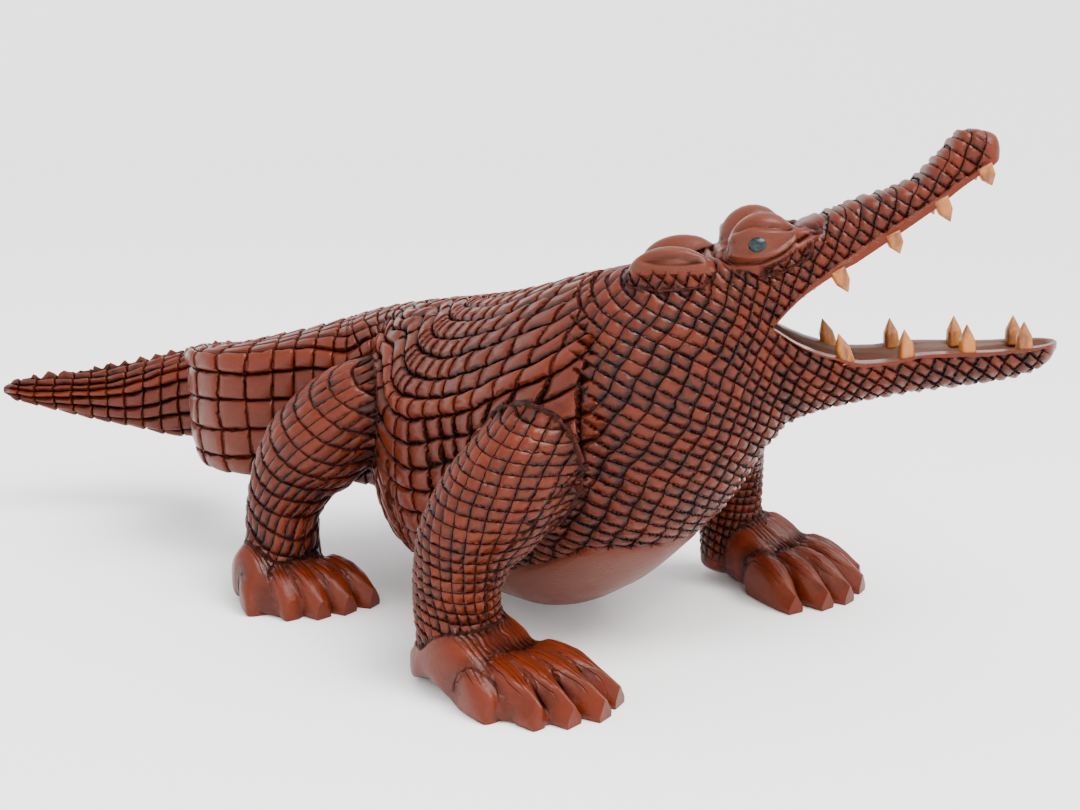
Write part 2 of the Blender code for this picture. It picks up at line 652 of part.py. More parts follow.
def main():
    for thing in list(bpy.data.objects):
        bpy.data.objects.remove(thing)

    parts = new_collection("crocodile_sculpture")
    joined = new_collection("joined_solids")
    cutters = new_collection("cutters")
    wood = new_material("carved_hardwood", (0.23, 0.06, 0.028), 0.38)
    tooth = new_material("tooth", (0.72, 0.36, 0.09), 0.4)
    shell = new_material("eye_shell", (0.12, 0.30, 0.26), 0.25)

    body = carved_trunk(wood, parts)
    for side, hand in ((-1, "right"), (1, "left")):
        front = LEFT_FRONT_FOOT if side > 0 else FRONT_FOOT
        limb(f"{hand}_front", FRONT_LEG, front, side, wood, joined)
        limb(f"{hand}_hind", HIND_LEG, HIND_FOOT, side, wood, joined)
        mound(f"{hand}_ear", EAR_MOUND, side, wood, joined)
        mound(f"{hand}_brow", BROW_MOUND, side, wood, joined)
    nodes = [body]
    for name, gum, rise, height, seat in tooth_places():
        nodes.append(peg(name, gum, rise, height, seat, 0.0, tooth, parts))
        peg(name + "_socket", gum, rise, height, seat, FIT_GAP, wood, cutters)
    for side, hand in ((-1, "right"), (1, "left")):
        nodes.append(eye(f"{hand}_eye", side, (shell, wood), (parts, cutters))[0])
    ground_block(cutters)

    for helper in list(joined.objects) + list(cutters.objects):
        helper.hide_render = True
        helper.display_type = "WIRE"
    boolean(body, "UNION", joined)
    boolean(body, "DIFFERENCE", cutters)
    centre_over_origin(nodes)


main()
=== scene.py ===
"""The carved crocodile's finished pieces and its studio, laid out as an add-on.

The body's carving is one surface over each form of the solid body. The forms are joined, their creases
rounded, and the rows, the crosshatching and the feet's grooves cut into the result, which is one piece.
"""

import bmesh
import bpy
import numpy as np
from mathutils import Matrix, Vector


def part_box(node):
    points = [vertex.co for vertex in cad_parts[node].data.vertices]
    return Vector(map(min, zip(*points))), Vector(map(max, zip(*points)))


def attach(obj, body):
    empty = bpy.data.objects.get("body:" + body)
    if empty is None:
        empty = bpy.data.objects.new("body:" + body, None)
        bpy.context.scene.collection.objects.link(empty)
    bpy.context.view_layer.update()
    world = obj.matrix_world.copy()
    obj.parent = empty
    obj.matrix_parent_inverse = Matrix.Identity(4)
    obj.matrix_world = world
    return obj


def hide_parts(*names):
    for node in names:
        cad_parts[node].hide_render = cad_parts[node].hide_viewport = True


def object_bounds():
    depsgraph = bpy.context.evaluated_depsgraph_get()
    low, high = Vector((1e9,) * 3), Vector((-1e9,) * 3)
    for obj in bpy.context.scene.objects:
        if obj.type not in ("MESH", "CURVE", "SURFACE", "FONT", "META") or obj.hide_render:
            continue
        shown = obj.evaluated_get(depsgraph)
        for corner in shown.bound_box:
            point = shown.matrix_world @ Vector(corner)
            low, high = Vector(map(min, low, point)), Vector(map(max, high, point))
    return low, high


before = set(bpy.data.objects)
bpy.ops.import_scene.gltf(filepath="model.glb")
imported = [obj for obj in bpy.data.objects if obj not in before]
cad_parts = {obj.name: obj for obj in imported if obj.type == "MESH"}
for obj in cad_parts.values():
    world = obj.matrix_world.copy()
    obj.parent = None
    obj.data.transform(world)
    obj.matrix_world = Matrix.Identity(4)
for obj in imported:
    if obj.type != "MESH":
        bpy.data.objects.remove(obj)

CAD_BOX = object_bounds()

bl_info = {
    "name": "Carved crocodile",
    "version": (1, 0, 0),
    "blender": (4, 5, 0),
    "location": "View3D > Sidebar > Crocodile",
    "description": "Builds a hardwood crocodile carving with set-in teeth and shell eyes",
    "category": "Add Mesh",
}

# One drawn millimetre in metres: the figure is drawn straight, as (along, aside, up), and then bent
MM = 0.001

# Heading of the spine in degrees against drawn millimetres along it
HEADING = (
    (-470, 46), (-342, 46), (-333, 40), (-287, -40), (-278, -46), (-258, -46), (-249, -39),
    (-205, 38), (-196, 44), (-150, 44), (-95, 0), (12, 0), (92, 46), (300, 46),
)
# Cross-sections of the trunk: back along, back up, belly along, belly up, half width, ridge share,
# squareness above the ridge, squareness below it
TRUNK = np.array((
    (-460.0, 80.0, -460.0, 75.5, 2.5, 0.50, 2.0, 2.0),
    (-453.0, 83.5, -453.0, 71.5, 5.0, 0.50, 1.9, 2.0),
    (-431.6, 86.2, -431.6, 66.2, 8.5, 0.52, 1.8, 2.4),
    (-406.0, 89.5, -406.0, 60.2, 11.5, 0.58, 1.8, 3.0),
    (-373.2, 95.5, -373.2, 53.5, 15.0, 0.68, 1.9, 3.6),
    (-348.0, 101.0, -348.0, 49.0, 17.0, 0.78, 2.2, 4.2),
    (-310.0, 108.5, -310.0, 48.5, 19.0, 0.86, 2.6, 5.0),
    (-270.0, 117.0, -270.0, 50.5, 20.5, 0.90, 3.0, 5.5),
    (-227.0, 125.0, -227.0, 52.5, 22.0, 0.91, 3.2, 6.0),
    (-182.0, 134.0, -182.0, 53.0, 23.5, 0.88, 3.0, 5.5),
    (-154.0, 142.0, -154.0, 49.0, 27.0, 0.82, 2.8, 4.2),
    (-132.0, 148.5, -132.0, 43.0, 34.5, 0.72, 2.6, 3.2),
    (-112.0, 153.0, -112.0, 37.0, 45.0, 0.62, 2.4, 2.6),
    (-90.0, 157.5, -86.0, 15.0, 57.5, 0.53, 2.3, 2.6),
    (-50.0, 165.0, -45.0, 10.0, 68.0, 0.50, 2.1, 2.4),
    (-10.0, 175.5, 5.0, 10.0, 70.0, 0.49, 2.1, 2.3),
    (20.0, 185.0, 45.0, 29.0, 66.0, 0.50, 2.1, 2.1),
    (36.0, 189.5, 74.0, 58.0, 58.0, 0.52, 2.2, 2.1),
    (52.0, 193.0, 93.0, 80.0, 47.0, 0.54, 2.4, 2.2),
    (70.0, 196.0, 104.0, 98.0, 39.0, 0.56, 2.6, 2.3),
    (95.0, 203.0, 117.0, 114.0, 31.0, 0.59, 2.8, 2.4),
))
# Sections of a jaw: outer along, outer up, lip along, lip up, half width
UPPER_JAW = (
    (107.0, 207.5, 120.0, 181.3, 28.5),
    (118.8, 211.9, 131.7, 188.6, 25.5),
    (144.4, 222.2, 154.1, 202.5, 20.5),
    (174.0, 233.6, 180.6, 220.3, 16.5),
    (182.8, 243.0, 192.0, 229.4, 15.5),
    (196.4, 256.0, 205.0, 238.5, 14.0),
    (209.2, 253.0, 210.0, 242.0, 9.5),
    (211.6, 248.7, 212.0, 246.5, 3.5),
)
LOWER_JAW = (
    (130.0, 119.6, 119.2, 157.0, 28.0),
    (144.0, 123.3, 133.6, 151.5, 25.0),
    (155.0, 125.6, 150.4, 148.0, 22.5),
    (166.0, 127.4, 162.4, 148.5, 20.5),
    (183.0, 129.9, 180.8, 151.3, 18.0),
    (215.0, 133.9, 213.6, 151.8, 14.5),
    (233.0, 138.0, 232.0, 153.0, 12.5),
    (242.5, 143.8, 242.0, 154.0, 8.5),
    (247.0, 150.0, 246.5, 154.5, 3.0),
)


def through(at, knots_at, values):
    """A smooth curve through the knots that never overshoots them (a monotone cubic)."""
    knots_at = np.asarray(knots_at, float)
    values = np.asarray(values, float)
    gap = np.diff(knots_at)
    slope = np.diff(values) / gap
    before = slope[:-1]
    after = slope[1:]
    same = before * after > 0
    near = 2 * gap[1:] + gap[:-1]
    far = gap[1:] + 2 * gap[:-1]
    tangent = np.zeros(len(values))
    mean = near / np.where(same, before, 1.0) + far / np.where(same, after, 1.0)
    tangent[1:-1] = np.where(same, (near + far) / mean, 0.0)
    tangent[0] = slope[0]
    tangent[-1] = slope[-1]
    i = np.clip(np.searchsorted(knots_at, at) - 1, 0, len(gap) - 1)
    t = np.clip((at - knots_at[i]) / gap[i], 0.0, 1.0)
    return (
        (1 + 2 * t) * (1 - t) ** 2 * values[i]
        + t * (1 - t) ** 2 * gap[i] * tangent[i]
        + t * t * (3 - 2 * t) * values[i + 1]
        + t * t * (t - 1) * gap[i] * tangent[i + 1]
    )


def spine_table():
    """Lengths along the spine, its x and y, which add up the heading's cosine and sine, and its heading."""
    along = np.linspace(HEADING[0][0], HEADING[-1][0], 1541)
    heading = np.radians(through(along, *zip(*HEADING)))
    step = along[1] - along[0]
    x = np.cumsum(np.cos(heading)) * step
    y = np.cumsum(np.sin(heading)) * step
    start = np.argmin(np.abs(along))
    return along, x - x[start], y - y[start], heading


SPINE = spine_table()


def bend(points):
    """Drawn (along, aside, up) to metres: the spine's point plus aside times the spine's normal in plan."""
    points = np.asarray(points, float)
    along, x, y, heading = SPINE
    at = points[..., 0]
    turn = np.interp(at, along, heading)
    out = np.empty(points.shape)
    out[..., 0] = np.interp(at, along, x) - np.sin(turn) * points[..., 1]
    out[..., 1] = np.interp(at, along, y) + np.cos(turn) * points[..., 1]
    out[..., 2] = points[..., 2]
    return out * MM


def columns(sections, stations):
    """Each column of a table of sections on a smooth curve, at these fractional stations."""
    numbers = np.arange(len(sections), dtype=float)
    return [through(stations, numbers, column) for column in np.array(sections).T]


def even_stations(sections, step):
    """Stations about one step apart along the line midway between the first and the second point."""
    fine = np.linspace(0.0, len(sections) - 1.0, 4001)
    first_at, first_up, second_at, second_up = columns(sections, fine)[:4]
    path = np.hypot(np.diff(first_at + second_at) / 2, np.diff(first_up + second_up) / 2)
    length = np.concatenate([[0.0], np.cumsum(path)])
    return np.interp(np.linspace(0.0, length[-1], int(length[-1] / step) + 2), length, fine)


def quarters(outer, lip, half, power, marks):
    """Quarter outlines, one a ring, from the midline (outer) to the widest point (lip), marks evenly spaced.

    Aside is half * sin^(2/power) and the way from lip to outer is cos^(2/power). Gives the points
    (rings, marks + 1, 3) and each one's distance along its outline.
    """
    angle = np.linspace(0.0, np.pi / 2, 121)[None]
    aside = half[:, None] * np.sin(angle) ** (2 / power[:, None])
    share = np.cos(angle) ** (2 / power[:, None])
    tall = np.linalg.norm(outer - lip, axis=1)[:, None]
    length = np.cumsum(np.hypot(np.diff(aside, axis=1), np.diff(share * tall, axis=1)), axis=1)
    length = np.concatenate([np.zeros((len(half), 1)), length], axis=1)
    out = np.empty((len(half), marks + 1, 3))
    run = length[:, -1:] * np.linspace(0.0, 1.0, marks + 1)
    for ring in range(len(half)):
        part = np.interp(run[ring], length[ring], share[ring])[:, None]
        spot = lip[ring] + (outer[ring] - lip[ring]) * part
        out[ring, :, 0] = spot[:, 0]
        out[ring, :, 1] = np.interp(run[ring], length[ring], aside[ring])
        out[ring, :, 2] = spot[:, 1]
    return out, run


MIRROR = np.array([1.0, -1.0, 1.0])


def trunk_grid(step, above_marks, below_marks):
    """Rings of the trunk, each from the back down the right side, over the belly and up the left side.

    Gives drawn points and, for each, its distance round from the ridge line, positive above it, and that
    distance as a share of its quarter.
    """
    stations = even_stations(TRUNK, step)
    back_at, back_up, belly_at, belly_up, half, ridge, above, below = columns(TRUNK, stations)
    back = np.stack([back_at, back_up], axis=1)
    belly = np.stack([belly_at, belly_up], axis=1)
    line = belly + (back - belly) * ridge[:, None]
    upper, upper_run = quarters(back, line, half, above, above_marks)
    lower, lower_run = quarters(belly, line, half, below, below_marks)
    round_up = upper_run[:, -1:] - upper_run
    round_down = (lower_run - lower_run[:, -1:])[:, ::-1]
    right = np.concatenate([upper * MIRROR, (lower * MIRROR)[:, ::-1][:, 1:]], axis=1)
    away = np.concatenate([round_up, round_down[:, 1:]], axis=1)
    share = np.concatenate([round_up / upper_run[:, -1:], (round_down / lower_run[:, -1:])[:, 1:]], axis=1)

    def both(values, flip=None):
        other = values[:, -2:0:-1]
        return np.concatenate([values, other * flip if flip is not None else other], axis=1)

    return both(right, MIRROR), both(away), both(share)


# A leg's knots: centre x, y, z for the left side, half sizes along and across
FRONT_LEG = (
    (34.0, 36.0, 118.0, 21.0, 20.0),
    (36.0, 58.0, 104.0, 29.0, 26.0),
    (31.0, 77.0, 86.0, 29.0, 27.0),
    (26.0, 92.0, 66.0, 24.0, 24.0),
    (25.0, 97.0, 45.0, 21.0, 21.0),
    (26.0, 97.0, 26.0, 20.5, 21.0),
    (28.0, 97.0, -3.0, 20.0, 20.0),
)
HIND_LEG = (
    (-94.0, 28.0, 110.0, 22.0, 20.0),
    (-107.0, 51.0, 101.0, 29.0, 27.0),
    (-119.0, 70.0, 84.0, 30.0, 27.0),
    (-127.0, 83.0, 64.0, 23.5, 23.0),
    (-129.0, 89.0, 45.0, 19.8, 20.0),
    (-128.0, 90.0, 26.0, 20.0, 20.5),
    (-127.0, 90.0, -3.0, 21.5, 21.5),
)
# Tips of the five toes, outermost first
FRONT_TIPS = ((70.0, 118.0), (88.0, 107.0), (96.0, 95.0), (101.0, 80.0), (96.0, 65.0))
HIND_TIPS = ((-110.0, 120.0), (-93.0, 109.0), (-84.0, 96.5), (-80.0, 82.5), (-79.0, 67.0))
LEFT_FRONT_TIPS = ((84.0, 148.0), (94.0, 136.0), (98.5, 117.0), (95.5, 101.0), (87.0, 84.0))
# A leg's crosshatching: lean with x, rise with z, pitch, waver, number of lines round the leg, their twist
FRONT_HATCH = (0.20, 1.0, 5.0, 0.5, 25, 0.046)
HIND_HATCH = (0.52, 0.83, 8.6, 0.6, 21, -0.055)
# Limb: knots, heel, toe tips, shift of the leg, girth, side (+1 left), crosshatching
LIMBS = (
    (FRONT_LEG, (3.0, 99.0), FRONT_TIPS, (-2.0, 1.8), 1.0, -1, FRONT_HATCH),
    (FRONT_LEG, (14.0, 112.0), LEFT_FRONT_TIPS, (-0.5, 8.5), 0.85, 1, FRONT_HATCH),
    (HIND_LEG, (-148.0, 95.0), HIND_TIPS, (0.0, 0.0), 1.0, -1, HIND_HATCH),
    (HIND_LEG, (-148.0, 95.0), HIND_TIPS, (0.0, 0.0), 1.0, 1, HIND_HATCH),
)
# Heights between which the crosshatching of a leg fades towards the ankle
ANKLE = (9.0, 22.0)
# Half widths and heights of the palm from the heel to the knuckles, and of a toe from its root to its tip
PALM_WIDTHS = (14.26, 21.42, 24.108, 24.384, 22.532, 18.9)
PALM_HEIGHTS = (20.0, 31.0, 37.0, 32.0, 22.0, 9.0)
PALM_SQUARENESS = 3.0
TOE_WIDTHS = (6.32, 7.505, 7.9, 7.11, 4.898)
TOE_HEIGHTS = (19.475, 25.01, 22.96, 17.63, 9.84)
TOE_SQUARENESS = 2.6
# Shares of the way from the heel to the tips: the knuckles, and how far behind them the toes start
KNUCKLES = 0.74
TOE_START = 0.26
# How widely the toes' roots spread against their tips, and how much a toe narrows upwards
TOE_SPREAD = 0.60
TOE_PINCH = 0.70
# Distances between the fine grooves of the palm and of a toe, and their depths
PALM_GROOVES = (3.1, 0.7)
TOE_GROOVES = (2.8, 0.5)
# How far the legs and feet reach below the ground before they are cut flat
BELOW_GROUND = 3.0
# Hollow of the mouth as a share of the jaw height
VAULT = 0.20
# How plain the inside of the mouth is left: 1 is smooth waxed wood, 2 is bare wood
MOUTH_TONE = 2.0
# Mounds of the head: along, aside, up, half length, half width, half height, rise in degrees
EAR = (63.0, 21.5, 186.5, 22.0, 10.5, 16.5, 3.0)
BROW = (101.0, 15.5, 200.5, 17.0, 12.5, 18.0, 8.0)
CHEEK = (106.0, 12.5, 190.5, 31.0, 15.0, 18.0, 20.0)
# The ear's leaf-shaped hollow in side view: along, up, half length, half height, slope, and its depth and
# the height of its rim
EAR_HOLLOW = (66.0, 198.0, 19.0, 2.7, 0.04, 2.6, 0.6)
# Heights between which the ear's crosshatching ends
EAR_HATCH_END = (190.5, 192.5)
# The eye in side view, its half length, half thickness and half height, how much of its thickness shows,
# and how far it turns upwards in degrees
EYE = (97.0, 205.0)
EYE_HALVES = (4.8, 3.0, 3.9)
EYE_SHOWS = 1.2
EYE_TURN = 12.0
# Teeth: pairs along the lip, height above the lip, inset, seat
UPPER_TEETH = ((135.2, 160.8, 183.2, 203.0), (10.0, 8.5, 10.0, 8.0), 2.2, 4.2)
LOWER_TEETH = ((141.0, 171.0, 201.0, 229.0), (13.0, 13.0, 13.0, 12.5), 4.8, 3.0)
# Half widths of a tooth at its foot, at its neck and at its tip, and the neck's share of its height
TOOTH_FOOT = 3.9
TOOTH_NECK = 3.3
TOOTH_TIP = 0.12
NECK_SHARE = 0.45
# Share of its seat that a tooth fills
SEAT_FILLED = 0.55

# Tables of (along, value) on the trunk. The bead runs from the tail over the hip and along the flank: its
# lower edge as distance round from the ridge line, and the widths of it and of the rows over and under it
BEAD_LINE = (
    (-460, -1.0), (-300, -5.0), (-182, -6.5), (-154, -8.0), (-132, 9.0), (-112, 26.0),
    (-100, 40.0), (-94, 43.0), (-84, 35.0), (-75, 26.0), (-66, 22.5), (-50, 22.0),
    (-38, 23.5), (-14, 30.0), (5, 34.0), (21, 34.5), (45, 36.0),
)
BEAD_WIDTHS = (
    (-460, 3.0), (-400, 5.0), (-300, 9.0), (-227, 12.0),
    (-150, 11.0), (-100, 10.0), (0, 10.0), (45, 8.0),
)
UPPER_ROWS = ((-460, 4.0), (-400, 5.0), (-300, 7.5), (-150, 9.0), (-80, 12.0), (5, 12.0), (45, 8.0))
LOWER_ROWS = (
    (-460, 3.0), (-430, 5.0), (-373, 9.0), (-300, 14.0),
    (-227, 16.5), (-150, 16.5), (-110, 13.0), (40, 12.5),
)
# Heights where the smooth belly ends
BELLY_LINE = ((-150, 10), (-90, 24), (-40, 30), (5, 36), (30, 50), (45, 62), (130, 62))
# Where the neck's crosshatching starts: (distance round from the ridge line, along)
NECK_EDGE = (
    (-120, -8.0), (-80, 2.0), (-45, 22.0), (-20, 42.0), (0, 48.0), (24, 44.0), (44, 41.0), (102, 26.0),
)
# Smooth bands along the jaws' lips: (along, width), and where each jaw's crosshatching ends
UPPER_BAND = ((100, 1.0), (125, 3.5), (150, 5.5), (180, 4.0), (212, 2.5))
LOWER_BAND = ((100, 0.8), (150, 1.8), (247, 1.8))
UPPER_END = 210.0
LOWER_END = 246.0
# Distance between the cross cuts of the rows, and between the teeth of the crests
CROSS_CUTS = 11.5
CREST_TEETH = 9.8
# Distances between the two families of lines on the neck and head
FALLING_LINES = 4.9
STEEP_LINES = 5.7
# Depth of the crosshatching on the trunk and head, and on the legs and ears
HATCH_DEPTH = 1.7
FINE_HATCH_DEPTH = 1.5
# Lengths of the longest outlines, which set how many grid points they get: back, belly, mouth, leg
BACK_ARC = 95.0
BELLY_ARC = 105.0
MOUTH_ARC = 28.0
LEG_ARC = 130.0
# The creases between forms: how far their softening reaches, how strongly it holds and its rounds
CREASE_REACH = 52.0
CREASE_HOLD = 22.0
CREASE_ROUNDS = 5
# Rings of points at a seam that take their neighbours' fields
SEAM_RINGS = 5
# Rounds of smoothing that tell hollows from edges, and the angle in degrees from which an edge looks sharp
HOLLOW_ROUNDS = 14
SHARP_ANGLE = 40
# The upper and the lower eyelid's outer cut in side view: distance from the eye along the animal, and height
UPPER_LID = ((-22, 200.5), (-10, 210.5), (-2, 213.8), (8, 212.8), (18, 211.0), (34, 211.5))
LOWER_LID = ((-22, 199.7), (-10, 196.2), (0, 195.6), (10, 199.0), (20, 206.5), (34, 210.9))
# What the carving gives each point: its height, how soft its seams with other forms are, how plain the wood
# is left, and the counted lines of the crosshatching and of the rows, each with how far it holds there
FIELDS = ("relief", "soft", "plain", "hatch_first", "hatch_second", "hatch", "row", "tick", "rows")


def smooth(value, low, high):
    """0 below low, 1 above high and 3t^2 - 2t^3 between."""
    t = np.clip((value - low) / (high - low), 0.0, 1.0)
    return t * t * (3 - 2 * t)


def read_off(at, pairs):
    """The value at a place of a table of (place, value) pairs, in straight lines between them."""
    return np.interp(at, *np.array(pairs, float).T)


def cut(phase, width):
    """A V cut at every whole number of the phase: 1 on the line, 0 at width from it."""
    return np.clip(1 - np.abs((phase + 0.5) % 1.0 - 0.5) / width, 0.0, 1.0)


def uneven(first, second, scale):
    """A gentle wobble of a few sines, so that no line looks ruled."""
    return scale * (
        np.sin(first * 0.11 + second * 0.05) + np.sin(first * 0.043 - second * 0.12 + 1.7)
        + 0.5 * np.sin(first * 0.31 + second * 0.23)
    )


def hatched(first, second, depth):
    """Small leaning pyramids between two families of V cuts."""
    lean = 0.5 * (first % 1.0 - 0.5) - 0.35 * (second % 1.0 - 0.5)
    return depth * (lean - 0.85 * np.maximum(cut(first, 0.30), cut(second, 0.30)))


def packed(**values):
    """The carving's fields as one array with a column each; a field that isn't given is nought."""
    shape = np.broadcast(*values.values()).shape
    return np.stack([np.broadcast_to(values.get(name, 0.0), shape) for name in FIELDS], axis=-1)


def side_lines(along, up):
    """The two families of lines on the neck and head, counted in side view: one falls, one stands steep."""
    onward = through(along, (-200, 110, 150, 210, 260), (-200, 110, 147, 195, 236))
    first = (0.62 * onward + 0.785 * up + uneven(along, up, 0.6)) / FALLING_LINES
    second = (0.95 * onward - 0.31 * up + uneven(up, along, 0.7)) / STEEP_LINES
    return first, second


def lids(along, up):
    """Cuts of the almond-shaped eyelids, in side view, and where the wood round the eye is left smooth."""
    reach = along - EYE[0]
    top = through(np.clip(reach, -22, 34), *zip(*UPPER_LID))
    foot = through(np.clip(reach, -22, 34), *zip(*LOWER_LID))
    middle = (top + foot) / 2
    half = np.maximum((top - foot) / 2, 0.6)
    way = (up - middle) / half
    inside = smooth(reach, -22, -17) * (1 - smooth(reach, 27, 34))
    cuts = -1.8 * np.exp(-((np.abs(way) - 1.0) * half / 1.0) ** 2)
    cuts += 1.3 * np.exp(-((np.abs(way) - 0.60) * half / 1.3) ** 2) * smooth(half, 2.0, 4.0)
    near = inside * smooth(up - foot, -4.5, -2.5)
    return cuts * inside, near


def bead_lines(along, away):
    """The counted lines of the rows: rows over and under the bead's line, and the way along that line.

    Row counts bands: 0 to 1 on the bead, above 1 over it, below 0 under it. The way is the length of the
    bead's line up to the foot of the point on it.
    """
    lean = along - 0.25 * np.clip(away - 25.0, 0.0, 60.0) * smooth(along, -125, -95)
    fine = np.arange(-460.0, 60.0, 1.0)
    kernel = np.hanning(13)
    line = np.pad(read_off(fine, BEAD_LINE), 6, mode="edge")
    line = np.convolve(line, kernel / kernel.sum(), mode="valid")
    slope = np.gradient(line)
    path = np.cumsum(np.hypot(1.0, slope))
    off = away - np.interp(lean, fine, line) + uneven(along, away * 2.0, 0.5)
    steep = np.interp(lean, fine, slope)
    foot = np.clip(lean + steep * np.clip(off, -30.0, 30.0) / (1 + steep ** 2), fine[0], fine[-1])
    run = np.interp(foot, fine, path) + (along - np.clip(along, fine[0], fine[-1]))
    bead = read_off(along, BEAD_WIDTHS)
    over = read_off(along, UPPER_ROWS)
    under = read_off(along, LOWER_ROWS)
    row = np.where(off > bead, 1 + (off - bead) / over, np.where(off > 0, off / bead, off / under))
    width = np.where(off > bead, over, np.where(off > 0, bead, under))
    return row, width, run


def row_relief(along, share, row, width, run, tick):
    """Height of the rows: rounded bands with cross cuts, a raised bead, wedges by the neck, two crests."""
    inside = row % 1.0
    on_bead = (row >= 0) & (row < 1)
    part = tick % 1.0
    crown = 1 - (2 * inside - 1) ** 2
    rows = -2.3 * cut(row, np.minimum(0.5, 1.9 / width)) + 0.7 * crown
    rows += 1.4 * on_bead * np.sqrt(np.clip(crown, 0, 1))
    rows += 0.9 * (part - 0.5)
    slit = cut(tick, np.where(on_bead, 0.13, 0.09)) * smooth(crown, 0.02, 0.35)
    rows -= np.where(on_bead, 1.4, 1.3) * slit
    wedged = smooth(along, -60, -30) * (1 - smooth(row, -0.05, 0.0)) * smooth(row, -4.0, -3.2)
    reach = 0.10 + 0.42 * (1 - inside) * wedged
    rows -= 2.4 * np.clip(1 - part / reach, 0, 1) * wedged * smooth(crown, 0.0, 0.3)
    tooth = cut(run / CREST_TEETH, 0.5)
    ridge_crest = smooth(along, -452, -440) * (1 - smooth(along, -320, -300))
    rows += ridge_crest * (3.6 * tooth - 0.3) * smooth(share, 0.86, 1.0)
    bead_crest = smooth(along, -330, -300) * (1 - smooth(along, -160, -130))
    return rows + bead_crest * 2.0 * tooth * on_bead * smooth(share, 0.0, 0.3)


def trunk_fields(drawn, away, share):
    """The carving's fields on the trunk.

    The flank's rows are lines at even distance from the bead's line, cut across into cells that each rise
    like a saw tooth. The neck and cheeks are crosshatched in side view, the belly is smooth.
    """
    along, up = drawn[..., 0], drawn[..., 2]
    row, width, run = bead_lines(along, away)
    tick = (run + uneven(along, away, 0.5)) / CROSS_CUTS
    first, second = side_lines(along, up)
    eye_cuts, near_eye = lids(along, up)
    smooth_eye = near_eye * smooth(share, -0.6, -0.1)
    zigzag = 6.0 * (first % 1.0 - 0.5)
    to_neck = smooth(along - read_off(away, NECK_EDGE) - zigzag, -1.4, 1.4)
    belly = read_off(along, BELLY_LINE)
    plain = 1 - smooth(up - belly + uneven(along, up, 0.5), -0.7, 0.7)
    border = np.exp(-((up - belly) / 1.2) ** 2) * smooth(along, -20, 10)
    hatch = to_neck * (1 - plain) * (1 - smooth_eye)
    carved = (1 - to_neck) * (1 - plain) * smooth(along, -460, -452)
    relief = row_relief(along, share, row, width, run, tick) * carved - 1.0 * border
    relief += hatched(first, second, HATCH_DEPTH) * hatch + eye_cuts * smooth_eye * to_neck
    return packed(
        relief=relief, soft=1.0, plain=plain + smooth_eye * 0.5, hatch_first=first, hatch_second=second,
        hatch=hatch, row=row, tick=tick, rows=carved,
    )


def jaw_fields(drawn, lip_distance, upper):
    """The carving's fields on a jaw's outer side: crosshatched studs that end above the smooth lip band."""
    along, up = drawn[..., 0], drawn[..., 2]
    first, second = side_lines(along, up)
    band = read_off(along, UPPER_BAND if upper else LOWER_BAND)
    end = UPPER_END if upper else LOWER_END
    eye_cuts, near_eye = lids(along, up)
    near_eye = near_eye * upper
    keep = smooth(lip_distance - band + uneven(along, up, 0.3), -0.5, 0.5)
    keep = keep * (1 - smooth(along, end - 10, end - 3))
    relief = hatched(first, second, HATCH_DEPTH) * keep * (1 - near_eye) + eye_cuts * near_eye
    relief -= 0.5 * np.exp(-((lip_distance - band) / 0.8) ** 2) * keep
    return packed(
        relief=relief, soft=1.0, plain=(1 - keep) * 0.6, hatch_first=first, hatch_second=second,
        hatch=keep * (1 - near_eye),
    )


def leg_rings(knots, girth, rings, sides):
    """Rings square to the leg's middle line: centre + cos * along vector + sin * across vector."""
    stations = np.linspace(0.0, len(knots) - 1.0, rings)
    x, y, z, along, across = columns(knots, stations)
    centre = np.stack([x, y, z], axis=1)
    course = np.gradient(centre, axis=0)
    course /= np.linalg.norm(course, axis=1, keepdims=True)
    forward = np.array([1.0, 0.0, 0.0]) - course * course[:, :1]
    forward /= np.linalg.norm(forward, axis=1, keepdims=True)
    sideways = np.cross(course, forward)
    angle = np.linspace(0.0, 2 * np.pi, sides, endpoint=False)
    one_way = np.cos(angle)[None, :, None] * (forward * (along * girth)[:, None])[:, None]
    other_way = np.sin(angle)[None, :, None] * (sideways * (across * girth)[:, None])[:, None]
    return centre[:, None] + one_way + other_way, angle


def power_ring(angle, power):
    """A superellipse: cosine and sine with their sizes raised to 2/power."""
    across = np.sign(np.cos(angle)) * np.abs(np.cos(angle)) ** (2 / power)
    upward = np.sign(np.sin(angle)) * np.abs(np.sin(angle)) ** (2 / power)
    return across, upward


def bar_rings(start, end, halves, tops, power, rings, sides):
    """Rings of a bar on the ground: half width and top height on smooth curves along it."""
    start = np.array(start)
    end = np.array(end)
    way = (end - start) / np.linalg.norm(end - start)
    share = np.linspace(0.0, 1.0, rings)
    spots = np.linspace(0.0, 1.0, len(halves))
    half = through(share, spots, halves)[:, None]
    top = through(share, spots, tops)[:, None]
    across, upward = power_ring(np.linspace(0.0, 2 * np.pi, sides, endpoint=False)[None], power)
    spot = start + (end - start) * share[:, None]
    x = spot[:, :1] - way[1] * half * across
    y = spot[:, 1:] + way[0] * half * across
    z = (top - BELOW_GROUND) / 2 + upward * (top + BELOW_GROUND) / 2
    return np.stack([x, y, z], axis=2), share[:, None] * np.linalg.norm(end - start), half * across


def tube_faces(rings, sides):
    """Quads between neighbouring rings of a closed tube."""
    first = (np.arange(rings - 1)[:, None] * sides + np.arange(sides)[None]).ravel()
    turn = (np.arange(rings - 1)[:, None] * sides + (np.arange(sides)[None] + 1) % sides).ravel()
    return np.stack([first, first + sides, turn + sides, turn], axis=1)


def fan(ring, centre):
    """Triangles from a ring of point numbers to one centre point."""
    return np.stack([ring, np.roll(ring, -1), np.full(len(ring), centre)], axis=1)


